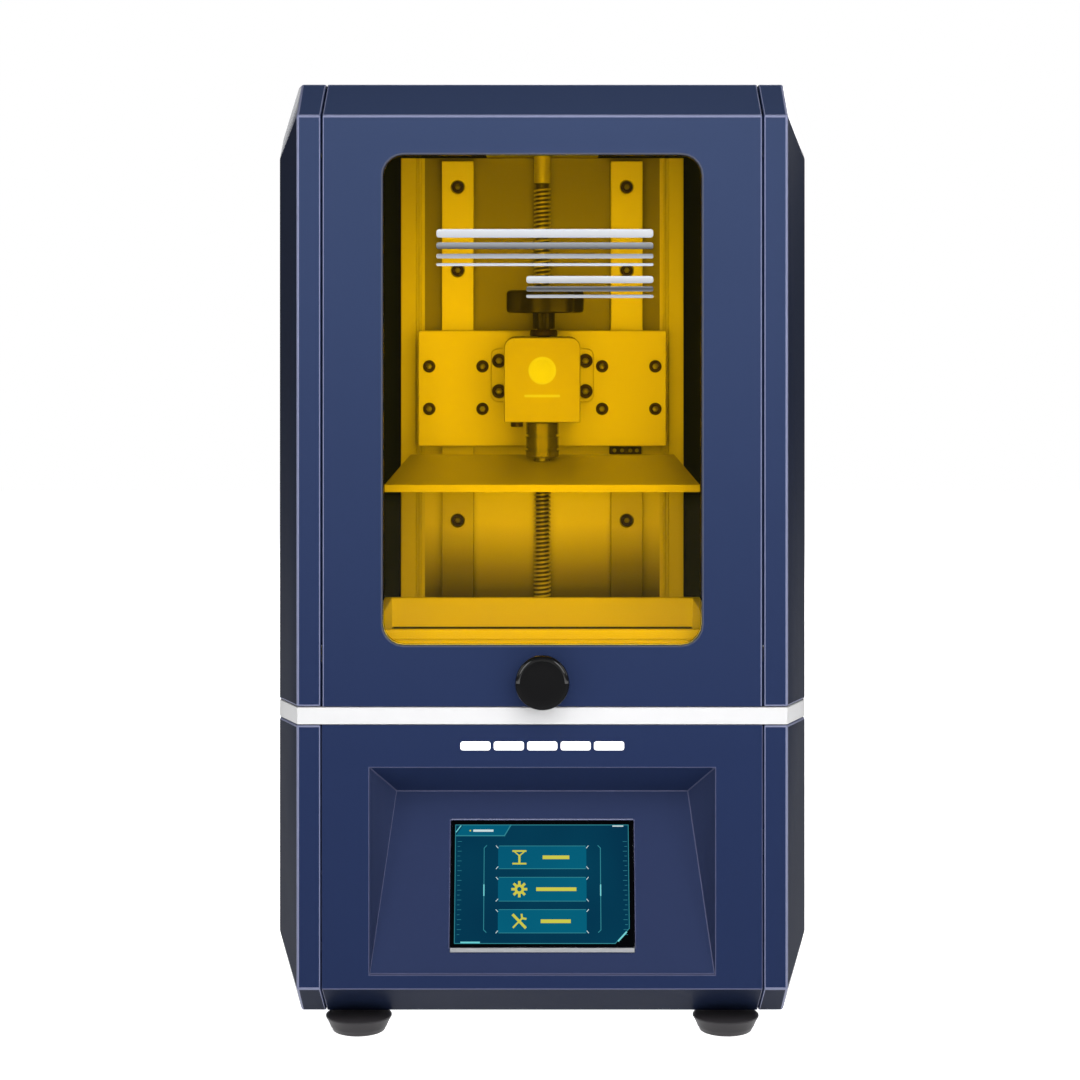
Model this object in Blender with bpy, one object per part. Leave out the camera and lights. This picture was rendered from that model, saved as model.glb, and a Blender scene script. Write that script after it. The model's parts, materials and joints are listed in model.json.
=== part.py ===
"""A desktop resin printer with a flip-up hood, modelled as separate sub-parts.

Sizes are in millimetres and become metres when a mesh is made. +X is the printer's right seen from the front,
the front faces -Y, +Z is up, and the origin is on the table under the middle of the machine.
"""

import math

import bmesh
import bpy
from mathutils import Matrix, Vector

MM = 0.001
GAP = 0.3  # clearance between neighbouring pieces

# outer body
FRONT_Y = -92.0
BACK_Y = 108.0
HALF_WIDTH = 110.6
BODY_BOTTOM = 7.8
BODY_TOP = 400.0
SHEET = 2.0
FASCIA_HALF = 91.1  # half width of the hood and of the front and back panels
FACE_HALF = 101.3  # half width of the flat front, inside the side bevels
SIDE_BEVEL_DEPTH = 20.5
FLAT_TOP_HALF = 104.0
TOP_BEVEL_Z = 377.5
BOTTOM_BEVEL_Z = 33.0
CORNER_TOP_Z = 368.0  # where the upper front corner facets start on the sides
CORNER_BOTTOM_Z = 43.0
CORNER_FLAT_HALF = 101.8  # where the corner facets meet the top and the bottom
CORNER_SNAP = 0.2  # a corner this near a facet counts as lying on it
CHAMFER_DEPTH = 26.0
TOP_CHAMFER_Z = 384.8
BOTTOM_CHAMFER_Z = 23.8
BAND_BOTTOM = 133.2
BAND_TOP = 140.3
BAND_THICK = 3.0

# hood
HOOD_REAR_Y = 78.0
HOOD_LIP = 12.0
WINDOW_HALF = 65.9
WINDOW_BOTTOM = 166.0
WINDOW_TOP = 368.6
WINDOW_RADIUS = 8.6
PANE_THICK = 3.0
PANE_RECESS = 0.5
HINGE_Y = 81.0
HINGE_Z = 397.4
HINGE_HALF = 79.0
KNUCKLES = 5
PIN_RADIUS = 1.0
KNUCKLE_RADIUS = 2.3
REAR_STRIP_Y = 85.3
KNOB_Z = 152.5
KNOB_TIP_Y = -108.0
KNOB_RADIUS = 11.1

# screen recess in the lower front
RECESS_HALF = 71.4
RECESS_BOTTOM = 29.8
RECESS_TOP = 115.3
RECESS_FLOOR_HALF = 61.7
RECESS_FLOOR_TOP = 101.0
RECESS_DEPTH = 25.0
RECESS_STEP = 0.8  # depth at the recess's lower edge
SCREEN_HALF = 38.2
SCREEN_START = 11.0  # along the tilted panel, from its lower edge
SCREEN_END = 62.5
SCREEN_THICK = 5.0

# deck and optics
DECK_HALF = 88.7
DECK_FRONT = -78.0
DECK_REAR = 104.6
DECK_TOP = 150.0
DECK_THICK = 2.4
DECK_FLANGE = 15.0
OPTIC_Y = -6.0  # centre of the exposure area
LCD_HALF_X = 70.0
LCD_HALF_Y = 41.5
LCD_TOP = 152.2
LAMP_HALF_X = 62.0
LAMP_FRONT = -46.0
LAMP_REAR = 31.0
LAMP_BOTTOM = 62.0

# lift
COLUMN_HALF = 67.4
COLUMN_Y = 63.0
COLUMN_DEPTH = 22.0
COLUMN_TOP = 377.0
STRIP_RISE = 0.8  # the column's edge strips stand proud of its web
STRIP_HALF = 60.2
BEARING_TOP = 387.0
BEARING_HALF = 26.6
RAIL_X = 40.0
RAIL_HALF = 7.5
RAIL_HEIGHT = 10.0
RAIL_TOP = 375.0
SCREW_Y = 55.0
SCREW_RADIUS = 4.0
MOTOR_HALF = 21.0
MOTOR_TOP = 118.0
COUPLER_LOW = 121.2
COUPLER_HIGH = 146.2
SHAFT_TOP = 133.4
MOTOR_LENGTH = 40.0
CARRIAGE_HALF = 58.25
CARRIAGE_Y = 42.0
CARRIAGE_THICK = 5.0
CARRIAGE_BOTTOM = 240.6
CARRIAGE_TOP = 294.9
GUIDE_BOTTOM = 247.0
GUIDE_TOP = 289.0
GUIDE_HALF = 16.0

# arm and platform
ARM_Z = 273.3
ARM_HALF = 9.7
ARM_TIP_Y = -3.0
BLOCK_HALF = 17.0
BLOCK_FRONT = -15.0
BLOCK_BOTTOM = 254.4
BLOCK_TOP = 292.2
CLAMP_Y = 10.0
POST_Y = -2.0
POST_RADIUS = 7.4
BALL_Z = 232.4
BALL_RADIUS = 5.0
BALL_NECK = 2.8
PLATE_HALF_X = 68.1
PLATE_FRONT = -46.0
PLATE_REAR = 34.0
PLATE_BOTTOM = 225.8
PLATE_EDGE = 3.1
PLATE_ROOF = 237.5
PLATE_ROOF_HALF = 61.0
PLATE_ROOF_FRONT = 2.0

# resin vat
VAT_HALF_X = 70.5
VAT_FRONT = -67.0
VAT_REAR = 43.0
VAT_WALL = 2.5
VAT_RIM = 3.6
VAT_RIM_BOTTOM = 165.5
VAT_TOP = 169.5
VAT_FLANGE_HALF = 86.5
VAT_FLANGE_FRONT = -75.0
VAT_FLANGE_BOTTOM = 153.3
VAT_FLANGE_TOP = 160.0
RING_BOTTOM = 150.3
RING_THICK = 2.0
FILM_MARGIN = 2.0  # the ring and film stop this far inside the flange
THUMB_X = 81.6
SHANK_HOLE = 2.4
SHANK_RADIUS = 2.0
SHANK_LENGTH = 4.0  # below the deck's face

# fans, sockets and feet
EXHAUST_X = 45.0
EXHAUST_Z = 60.0
EXHAUST_HALF = 25.0
EXHAUST_DEPTH = 15.0
GRILLE_RADIUS = 21.0
GRILLE_SLOT = 1.5  # half width of a slot
VENT_HALF = 60.0
VENT_HEIGHT = 3.0
VENT_LEVELS = (200, 208, 216, 224)
INLET_HALF = 15.0
HEATSINK_BOTTOM = 40.7
HEATSINK_HALF = 42.0
SWITCH_X = -55.0
SWITCH_Z = 40.0
SWITCH_HALF_X = 6.3
SWITCH_HALF_Z = 9.3
SOCKET_DEPTH = 14.0
JACK_X = -25.0
JACK_Z = 40.0
JACK_RADIUS = 6.0
JACK_BORE = 3.2
JACK_PIN = 1.1
USB_Y = -25.0
USB_Z = 70.0
USB_HALF_Y = 7.2
USB_HALF_Z = 4.0
USB_LENGTH = 16.0
FOOT_X = 77.6
FOOT_FRONT = -67.0
FOOT_REAR = 84.0

STEPS = 24  # sides of a small round piece

MATERIALS = {
    "blue_paint": ((0.040, 0.052, 0.125), 0.38, 0.35),
    "white_plastic": ((0.90, 0.90, 0.90), 0.45, 0.0),
    "amber_acrylic": ((0.90, 0.52, 0.02), 0.08, 0.0),
    "aluminium": ((0.72, 0.73, 0.74), 0.32, 1.0),
    "steel": ((0.55, 0.56, 0.58), 0.25, 1.0),
    "black_plastic": ((0.018, 0.018, 0.020), 0.30, 0.0),
    "rubber": ((0.030, 0.029, 0.031), 0.75, 0.0),
    "brass": ((0.70, 0.50, 0.20), 0.30, 1.0),
    "circuit_board": ((0.02, 0.14, 0.07), 0.45, 0.0),
    "screen_glass": ((0.005, 0.06, 0.12), 0.10, 0.0),
    "lcd_glass": ((0.02, 0.02, 0.025), 0.06, 0.0),
    "clear_film": ((0.75, 0.78, 0.80), 0.12, 0.0),
}


def clear_scene():
    for item in list(bpy.data.objects):
        bpy.data.objects.remove(item, do_unlink=True)


def material(name):
    found = bpy.data.materials.get(name)
    if found:
        return found
    colour, roughness, metallic = MATERIALS[name]
    made = bpy.data.materials.new(name)
    made.use_nodes = True
    shader = made.node_tree.nodes["Principled BSDF"]
    shader.inputs["Base Color"].default_value = (*colour, 1.0)
    shader.inputs["Roughness"].default_value = roughness
    shader.inputs["Metallic"].default_value = metallic
    made.diffuse_color = (*colour, 1.0)
    return made


# ---------------------------------------------------------------- solids

def box(x0, x1, y0, y1, z0, z1):
    """A closed box between two corners."""
    bm = bmesh.new()
    size = Vector((x1 - x0, y1 - y0, z1 - z0))
    middle = Vector((x0 + x1, y0 + y1, z0 + z1)) / 2
    bmesh.ops.create_cube(bm, size=1.0, matrix=Matrix.Translation(middle) @ Matrix.Diagonal((*size, 1.0)))
    return bm


def sided(half, y0, y1, z0, z1):
    """A box that is symmetric about the middle of the machine."""
    return box(-half, half, y0, y1, z0, z1)


def hull(points):
    """The convex solid around some points."""
    bm = bmesh.new()
    verts = [bm.verts.new(p) for p in points]
    made = bmesh.ops.convex_hull(bm, input=verts)
    spare = [v for v in made["geom_interior"] if isinstance(v, bmesh.types.BMVert)]
    bmesh.ops.delete(bm, geom=spare, context="VERTS")
    return bm


AXIS_TURN = {
    "X": Matrix.Rotation(math.radians(90), 4, "Y"),
    "Y": Matrix.Rotation(math.radians(-90), 4, "X"),
    "Z": Matrix.Identity(4),
}


def turned(profile, centre, axis="Z", steps=STEPS):
    """A solid of revolution. The profile is (radius, height) pairs from the lower end to the upper one."""
    bm = bmesh.new()
    rings = []
    for radius, height in profile:
        ring = []
        for step in range(steps):
            angle = math.tau * step / steps
            ring.append(bm.verts.new((radius * math.cos(angle), radius * math.sin(angle), height)))
        rings.append(ring)
    for low, high in zip(rings, rings[1:]):
        for a in range(steps):
            b = (a + 1) % steps
            bm.faces.new((low[a], low[b], high[b], high[a]))
    bm.faces.new(list(reversed(rings[0])))
    bm.faces.new(rings[-1])
    bmesh.ops.transform(bm, matrix=Matrix.Translation(centre) @ AXIS_TURN[axis], verts=bm.verts)
    return bm


def rod(radius, low, high, centre, axis="Z", steps=STEPS):
    """A plain cylinder whose centre line passes through centre, from low to high along the axis."""
    return turned([(radius, low), (radius, high)], centre, axis, steps)


def rounded_outline(half_x, low, high, radius, corner_steps=5):
    """The corners of an upright rounded rectangle, anticlockwise."""
    points = []
    for turn, (sx, z) in enumerate(((1, high), (-1, high), (-1, low), (1, low))):
        cx = sx * (half_x - radius)
        cz = z - radius if z == high else z + radius
        for step in range(corner_steps + 1):
            angle = math.radians(90 * turn + 90 * step / corner_steps)
            points.append((cx + radius * math.cos(angle), cz + radius * math.sin(angle)))
    return points


def extruded(outline, low, high, axis="Y"):
    """A prism. The outline is in XZ for axis Y, in XY for axis Z and in YZ for axis X."""
    place = {
        "X": lambda a, b, h: (h, a, b),
        "Y": lambda a, b, h: (a, h, b),
        "Z": lambda a, b, h: (a, b, h),
    }[axis]
    bm = bmesh.new()
    bottom = [bm.verts.new(place(a, b, low)) for a, b in outline]
    top = [bm.verts.new(place(a, b, high)) for a, b in outline]
    count = len(outline)
    bm.faces.new(bottom)
    bm.faces.new(top)
    for a in range(count):
        b = (a + 1) % count
        bm.faces.new((bottom[a], bottom[b], top[b], top[a]))
    bmesh.ops.recalc_face_normals(bm, faces=bm.faces)
    return bm


def temporary(bm):
    mesh = bpy.data.meshes.new("work")
    bm.to_mesh(mesh)
    bm.free()
    item = bpy.data.objects.new("work", mesh)
    bpy.context.scene.collection.objects.link(item)
    return item


def boolean(bm, tool, operation):
    base, other = temporary(bm), temporary(tool)
    change = base.modifiers.new("cut", "BOOLEAN")
    change.operation = operation
    change.solver = "EXACT"
    change.object = other
    depsgraph = bpy.context.evaluated_depsgraph_get()
    result = bmesh.new()
    result.from_mesh(base.evaluated_get(depsgraph).to_mesh())
    for item in (base, other):
        mesh = item.data
        bpy.data.objects.remove(item)
        bpy.data.meshes.remove(mesh)
    bmesh.ops.remove_doubles(result, verts=result.verts, dist=0.001)
    bmesh.ops.dissolve_limit(result, angle_limit=math.radians(0.2), verts=result.verts, edges=result.edges)
    return result


def cut(bm, *tools):
    for tool in tools:
        bm = boolean(bm, tool, "DIFFERENCE")
    return bm


def join(bm, *tools):
    for tool in tools:
        bm = boolean(bm, tool, "UNION")
    return bm


def meet(bm, tool):
    return boolean(bm, tool, "INTERSECT")


def part(name, bm, look, origin=(0.0, 0.0, 0.0), parent=None, smooth=False):
    """Makes the named sub-part: its mesh is stored about its origin, in metres."""
    origin = Vector(origin)
    bmesh.ops.triangulate(bm, faces=[f for f in bm.faces if len(f.verts) > 4])
    bmesh.ops.translate(bm, vec=-origin, verts=bm.verts)
    bmesh.ops.scale(bm, vec=(MM, MM, MM), verts=bm.verts)
    bmesh.ops.recalc_face_normals(bm, faces=bm.faces)
    mesh = bpy.data.meshes.new(name)
    bm.to_mesh(mesh)
    bm.free()
    mesh.materials.append(material(look))
    if smooth:
        mesh.shade_smooth()
        mesh.set_sharp_from_angle(angle=math.radians(35))
    item = bpy.data.objects.new(name, mesh)
    bpy.context.scene.collection.objects.link(item)
    if parent:
        item.parent = parent
        item.location = origin * MM - parent.location
    else:
        item.location = origin * MM
    return item


# ---------------------------------------------------------------- outer body

def slice_off(bm, point, outward, inset, snap=0.0):
    """Cuts the solid with a plane moved inwards by inset, and caps it. Corners within snap of it stay."""
    outward = Vector(outward).normalized()
    geometry = list(bm.verts) + list(bm.edges) + list(bm.faces)
    made = bmesh.ops.bisect_plane(
        bm, geom=geometry, dist=snap, plane_co=Vector(point) - outward * inset, plane_no=outward,
        clear_outer=True,
    )
    edges = [e for e in made["geom_cut"] if isinstance(e, bmesh.types.BMEdge)]
    bmesh.ops.holes_fill(bm, edges=edges, sides=0)


def corner_facet(bm, side, crease_z, side_z, flat_z, inset):
    """Takes off a front corner with a plane through the crease, the side and the flat beyond the chamfer."""
    crease = Vector((side * FACE_HALF, FRONT_Y, crease_z))
    outer = Vector((side * HALF_WIDTH, FRONT_Y + SIDE_BEVEL_DEPTH, side_z))
    flat = Vector((side * CORNER_FLAT_HALF, FRONT_Y + CHAMFER_DEPTH, flat_z))
    outward = (outer - crease).cross(flat - crease)
    if outward.x * side < 0:
        outward = -outward
    slice_off(bm, crease, outward, inset, CORNER_SNAP)


def body_solid(inset=0.0):
    """The bevelled outer form of the machine, with every face moved inwards by inset."""
    bm = box(
        -HALF_WIDTH + inset, HALF_WIDTH - inset, FRONT_Y + inset, BACK_Y - inset,
        BODY_BOTTOM + inset, BODY_TOP - inset,
    )
    side_run = HALF_WIDTH - FACE_HALF
    top_run = HALF_WIDTH - FLAT_TOP_HALF
    for side in (-1, 1):
        slice_off(bm, (side * FACE_HALF, FRONT_Y, 0), (side * SIDE_BEVEL_DEPTH, -side_run, 0), inset)
        slice_off(bm, (side * FACE_HALF, BACK_Y, 0), (side * SIDE_BEVEL_DEPTH, side_run, 0), inset)
        rise = BODY_TOP - TOP_BEVEL_Z
        slice_off(bm, (side * FLAT_TOP_HALF, 0, BODY_TOP), (side * rise, 0, top_run), inset)
        drop = BOTTOM_BEVEL_Z - BODY_BOTTOM
        slice_off(bm, (side * FLAT_TOP_HALF, 0, BODY_BOTTOM), (side * drop, 0, -top_run), inset)
    slice_off(bm, (0, FRONT_Y, TOP_CHAMFER_Z), (0, -(BODY_TOP - TOP_CHAMFER_Z), CHAMFER_DEPTH), inset)
    fall = BOTTOM_CHAMFER_Z - BODY_BOTTOM
    slice_off(bm, (0, FRONT_Y, BOTTOM_CHAMFER_Z), (0, -fall, -CHAMFER_DEPTH), inset)
    for side in (-1, 1):
        corner_facet(bm, side, TOP_CHAMFER_Z, CORNER_TOP_Z, BODY_TOP, inset)
        corner_facet(bm, side, BOTTOM_CHAMFER_Z, CORNER_BOTTOM_Z, BODY_BOTTOM, inset)
    return bm


def skin(region, thick=SHEET):
    """The part of the outer body's skin that lies in a region."""
    return cut(meet(body_solid(), region), body_solid(thick))


SEAM = FASCIA_HALF + GAP
FAR = 300.0


def side_panels():
    for side, name in ((-1, "left"), (1, "right")):
        edges = sorted((side * SEAM, side * FAR))
        lower = skin(box(*edges, -FAR, FAR, 0, BAND_BOTTOM - GAP))
        upper = skin(box(*edges, -FAR, FAR, BAND_TOP + GAP, FAR * 2))
        if side > 0:
            y, z = USB_HALF_Y + GAP, USB_HALF_Z + GAP
            lower = cut(lower, box(FASCIA_HALF + 5, FAR, USB_Y - y, USB_Y + y, USB_Z - z, USB_Z + z))
        part(f"lower_side_panel_{name}", lower, "blue_paint")
        part(f"upper_side_panel_{name}", upper, "blue_paint")
    band = skin(sided(FAR, -FAR, FAR, BAND_BOTTOM, BAND_TOP), BAND_THICK)
    part("trim_band", cut(band, sided(SEAM, BACK_Y - 20, FAR, 0, FAR)), "white_plastic")


def recess_solid(grow):
    """The wedge-shaped hollow of the screen recess, grown by the sheet for its walls."""
    mouth = FRONT_Y + min(grow, 0.4) if grow else FRONT_Y - 5.0
    points = []
    for side in (-1, 1):
        x, floor_x = side * (RECESS_HALF + grow), side * (RECESS_FLOOR_HALF + grow)
        points.append((x, mouth, RECESS_TOP + grow))
        points.append((x, mouth, RECESS_BOTTOM - grow))
        points.append((x, FRONT_Y + RECESS_STEP + grow, RECESS_BOTTOM - grow))
        points.append((x, FRONT_Y + RECESS_STEP, RECESS_TOP + grow))
        points.append((floor_x, FRONT_Y + RECESS_DEPTH + grow, RECESS_FLOOR_TOP + grow))
    return hull(points)


def recess_tilt():
    """The turn from upright to the recess floor, and a point on the floor's lower edge."""
    rise = RECESS_FLOOR_TOP - RECESS_BOTTOM
    turn = Matrix.Rotation(-math.atan2(RECESS_DEPTH - RECESS_STEP, rise), 4, "X")
    return Matrix.Translation((0, FRONT_Y + RECESS_STEP, RECESS_BOTTOM)) @ turn


def on_recess_floor(bm):
    """Moves a solid drawn about an upright panel (Y into the machine, Z up its face) onto the recess floor."""
    bmesh.ops.transform(bm, matrix=recess_tilt(), verts=bm.verts)
    return bm


def lower_front():
    panel = skin(sided(FASCIA_HALF, -FAR, FRONT_Y + CHAMFER_DEPTH + 4, 0, BAND_BOTTOM - GAP))
    panel = join(panel, recess_solid(SHEET))
    panel = cut(panel, recess_solid(0))
    hole = on_recess_floor(sided(SCREEN_HALF + GAP, -5, 15, SCREEN_START - GAP, SCREEN_END + GAP))
    part("lower_front_panel", cut(panel, hole), "blue_paint")
    screen = on_recess_floor(sided(SCREEN_HALF, 0.2, SCREEN_THICK, SCREEN_START, SCREEN_END))
    part("touch_screen", screen, "screen_glass")
    strip = on_recess_floor(sided(SCREEN_HALF, -0.9, -GAP, SCREEN_START - 2.2, SCREEN_START - 0.5))
    part("screen_trim", strip, "steel")


def rear_and_base():
    front, rear = BACK_Y - 5, BACK_Y + 5
    slots = []
    for x in range(-18, 19, 6):
        rise = math.sqrt(GRILLE_RADIUS ** 2 - x ** 2)
        middle = EXHAUST_X + x
        slots.append(box(
            middle - GRILLE_SLOT, middle + GRILLE_SLOT, front, rear, EXHAUST_Z - rise, EXHAUST_Z + rise
        ))
    reach_x, reach_z = SWITCH_HALF_X + GAP, SWITCH_HALF_Z + GAP
    openings = [
        box(SWITCH_X - reach_x, SWITCH_X + reach_x, front, rear, SWITCH_Z - reach_z, SWITCH_Z + reach_z),
        rod(JACK_RADIUS + GAP, front, rear, (JACK_X, 0, JACK_Z), "Y"),
    ]
    lower = skin(sided(FASCIA_HALF, BACK_Y - 18, FAR, 0, BAND_BOTTOM - GAP))
    part("lower_back_panel", cut(lower, *slots, *openings), "blue_paint")
    vents = [sided(VENT_HALF, front, rear, z, z + VENT_HEIGHT) for z in VENT_LEVELS]
    upper = skin(sided(FASCIA_HALF, REAR_STRIP_Y, FAR, BAND_BOTTOM, FAR * 2))
    part("upper_back_panel", cut(upper, *vents), "blue_paint")
    pan = sided(
        FASCIA_HALF, FRONT_Y + CHAMFER_DEPTH + 4 + GAP, BACK_Y - 18 - GAP, BODY_BOTTOM, BODY_BOTTOM + SHEET
    )
    inlets = [
        sided(INLET_HALF, OPTIC_Y + y - GRILLE_SLOT, OPTIC_Y + y + GRILLE_SLOT, 0, 20)
        for y in (-14, -7, 0, 7, 14)
    ]
    part("base_pan", cut(pan, *inlets), "steel")
    for side, name in ((-1, "left"), (1, "right")):
        x = side * 86.0
        web = box(x - 0.8, x + 0.8, -55, 88, BODY_BOTTOM + SHEET + GAP, DECK_TOP - DECK_FLANGE - GAP)
        flange = box(*sorted((x, x - side * 10)), -55, 88, BODY_BOTTOM + SHEET + GAP, BODY_BOTTOM + SHEET + 1.9)
        part(f"frame_wall_{name}", join(web, flange), "steel")


# ---------------------------------------------------------------- hood

def knuckle_spans():
    """The stretches along X of the piano hinge's knuckles, in turn for the machine and for the hood."""
    pitch = 2 * HINGE_HALF / KNUCKLES
    return [(-HINGE_HALF + i * pitch + GAP, -HINGE_HALF + (i + 1) * pitch - GAP) for i in range(KNUCKLES)]


def hinge_leaf(side, spans):
    """One leaf of the hood hinge: side is -1 for the hood's leaf and 1 for the machine's."""
    near, far = HINGE_Y + side * 2.9, HINGE_Y + side * 14
    leaf = sided(HINGE_HALF, *sorted((near, far)), HINGE_Z - 1.0, HINGE_Z + 0.3)
    for low, high in spans:
        arm = box(low, high, *sorted((HINGE_Y + side * 1.4, near + side)), HINGE_Z - 1.0, HINGE_Z + 0.3)
        leaf = join(leaf, arm, rod(KNUCKLE_RADIUS, low, high, (0, HINGE_Y, HINGE_Z), "X", 16))
    bore = rod(PIN_RADIUS + 0.15, -HINGE_HALF - 5, HINGE_HALF + 5, (0, HINGE_Y, HINGE_Z), "X", 12)
    return cut(leaf, bore)


def hood():
    pivot = bpy.data.objects.new("hood_pivot", None)
    pivot.location = Vector((0, HINGE_Y, HINGE_Z)) * MM
    bpy.context.scene.collection.objects.link(pivot)
    at = (0, HINGE_Y, HINGE_Z)

    shell = meet(body_solid(), sided(FASCIA_HALF, -FAR, HOOD_REAR_Y, BAND_TOP + GAP, FAR * 2))
    hollow = meet(body_solid(SHEET), sided(FASCIA_HALF - SHEET, -FAR, FAR, 0, FAR * 2))
    shell = cut(shell, hollow, body_solid(HOOD_LIP))
    outline = rounded_outline(WINDOW_HALF, WINDOW_BOTTOM, WINDOW_TOP, WINDOW_RADIUS)
    window = extruded(outline, FRONT_Y - 3, FRONT_Y + 4)
    hole = rod(2.4, FRONT_Y - 3, FRONT_Y + 4, (0, 0, KNOB_Z), "Y", 12)
    part("hood_shell", cut(shell, window, hole), "blue_paint", at, pivot)

    outline = rounded_outline(
        WINDOW_HALF - GAP, WINDOW_BOTTOM + GAP, WINDOW_TOP - GAP, WINDOW_RADIUS - GAP
    )
    pane = extruded(outline, FRONT_Y + PANE_RECESS, FRONT_Y + PANE_RECESS + PANE_THICK)
    part("window_pane", pane, "amber_acrylic", at, pivot)

    length = FRONT_Y - GAP - KNOB_TIP_Y
    knob = turned(
        [
            (KNOB_RADIUS - 1.6, 0), (KNOB_RADIUS - 0.4, 0.7), (KNOB_RADIUS, 2.0), (KNOB_RADIUS - 0.6, 7.0),
            (KNOB_RADIUS - 4.0, 9.5), (KNOB_RADIUS - 4.5, length), (2.0, length), (2.0, length + 7.0),
        ],
        (0, KNOB_TIP_Y, KNOB_Z), "Y", 36,
    )
    part("hood_knob", knob, "black_plastic", at, pivot, smooth=True)

    spans = knuckle_spans()
    part("hood_hinge_leaf", hinge_leaf(-1, spans[1::2]), "steel", at, pivot)
    part("body_hinge_leaf", hinge_leaf(1, spans[::2]), "steel")
    pin = rod(PIN_RADIUS, -HINGE_HALF, HINGE_HALF, (0, HINGE_Y, HINGE_Z), "X", 12)
    part("hinge_pin", pin, "steel", at, smooth=True)


# ---------------------------------------------------------------- deck and optics

def deck():
    floor = DECK_TOP - DECK_THICK
    plate = sided(DECK_HALF, DECK_FRONT, DECK_REAR, DECK_TOP - DECK_FLANGE, DECK_TOP)
    inside = sided(DECK_HALF - SHEET, DECK_FRONT + SHEET, DECK_REAR - SHEET, 0, floor)
    optic = sided(
        LCD_HALF_X + GAP, OPTIC_Y - LCD_HALF_Y - GAP, OPTIC_Y + LCD_HALF_Y + GAP, floor - 2, DECK_TOP + 2
    )
    plate = cut(plate, inside, optic, rod(5.5, floor - 2, DECK_TOP + 2, (0, SCREW_Y, 0)))
    for side in (-1, 1):
        plate = cut(plate, rod(2.4, floor - 2, DECK_TOP + 2, (side * THUMB_X, OPTIC_Y, 0), "Z", 12))
    part("deck_plate", plate, "aluminium")
    panel = sided(LCD_HALF_X, OPTIC_Y - LCD_HALF_Y, OPTIC_Y + LCD_HALF_Y, floor + 0.4, LCD_TOP)
    part("lcd_panel", panel, "lcd_glass")


def lamp():
    housing = sided(LAMP_HALF_X, LAMP_FRONT, LAMP_REAR, LAMP_BOTTOM, DECK_TOP - DECK_THICK - 1.0)
    hollow = sided(LAMP_HALF_X - SHEET, LAMP_FRONT + SHEET, LAMP_REAR - SHEET, LAMP_BOTTOM + SHEET, FAR)
    part("uv_lamp_housing", cut(housing, hollow), "aluminium")
    board = sided(LAMP_HALF_X - 8, LAMP_FRONT + 8, LAMP_REAR - 8, LAMP_BOTTOM + SHEET + GAP, LAMP_BOTTOM + 4)
    part("uv_led_board", board, "circuit_board")
    sink = sided(HEATSINK_HALF, LAMP_FRONT + 6, LAMP_REAR - 6, HEATSINK_BOTTOM, LAMP_BOTTOM - GAP)
    pitch, groove = 12.0, 7.0
    starts = [-HEATSINK_HALF + pitch * (i + 0.5) for i in range(7)]
    grooves = [box(x, x + groove, -FAR, FAR, 0, LAMP_BOTTOM - 6) for x in starts]
    part("heatsink", cut(sink, *grooves), "aluminium")
    board = box(-83.0, -81.4, -50, 50, 20, 110)
    for y, z, high, wide in ((-40, 70, 14, 16), (-10, 60, 22, 5), (25, 75, 20, 9)):
        board = join(board, box(-81.8, -81.4 + wide, y, y + 18, z, z + high))
    part("main_board", board, "circuit_board")


# ---------------------------------------------------------------- lift

def column():
    face, back, front = COLUMN_Y, COLUMN_Y + COLUMN_DEPTH, COLUMN_Y - STRIP_RISE
    web, flange, groove, bead, groove_floor = 4.0, 3.0, 1.4, 1.2, COLUMN_Y + 2.0
    inner = COLUMN_HALF - flange
    half_outline = [
        (inner, face + web), (inner, back), (COLUMN_HALF, back), (COLUMN_HALF, front), (STRIP_HALF, front),
        (STRIP_HALF, groove_floor), (STRIP_HALF - groove, groove_floor), (STRIP_HALF - groove, front),
        (STRIP_HALF - groove - bead, front), (STRIP_HALF - groove - bead, face),
    ]
    outline = half_outline + [(-x, y) for x, y in reversed(half_outline)]
    part("column", extruded(outline, DECK_TOP + GAP, COLUMN_TOP, "Z"), "aluminium")
    for side, name in ((-1, "left"), (1, "right")):
        x = side * RAIL_X
        rail_back = COLUMN_Y - GAP
        front = COLUMN_Y - RAIL_HEIGHT
        outline = [
            (x - RAIL_HALF, rail_back), (x - RAIL_HALF, front + 5), (x - RAIL_HALF + 1.6, front + 4),
            (x - RAIL_HALF + 1.6, front + 3), (x - RAIL_HALF, front + 2), (x - RAIL_HALF, front),
            (x + RAIL_HALF, front), (x + RAIL_HALF, front + 2), (x + RAIL_HALF - 1.6, front + 3),
            (x + RAIL_HALF - 1.6, front + 4), (x + RAIL_HALF, front + 5), (x + RAIL_HALF, rail_back),
        ]
        part(f"rail_{name}", extruded(outline, DECK_TOP + 1.0, RAIL_TOP, "Z"), "steel")


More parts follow.
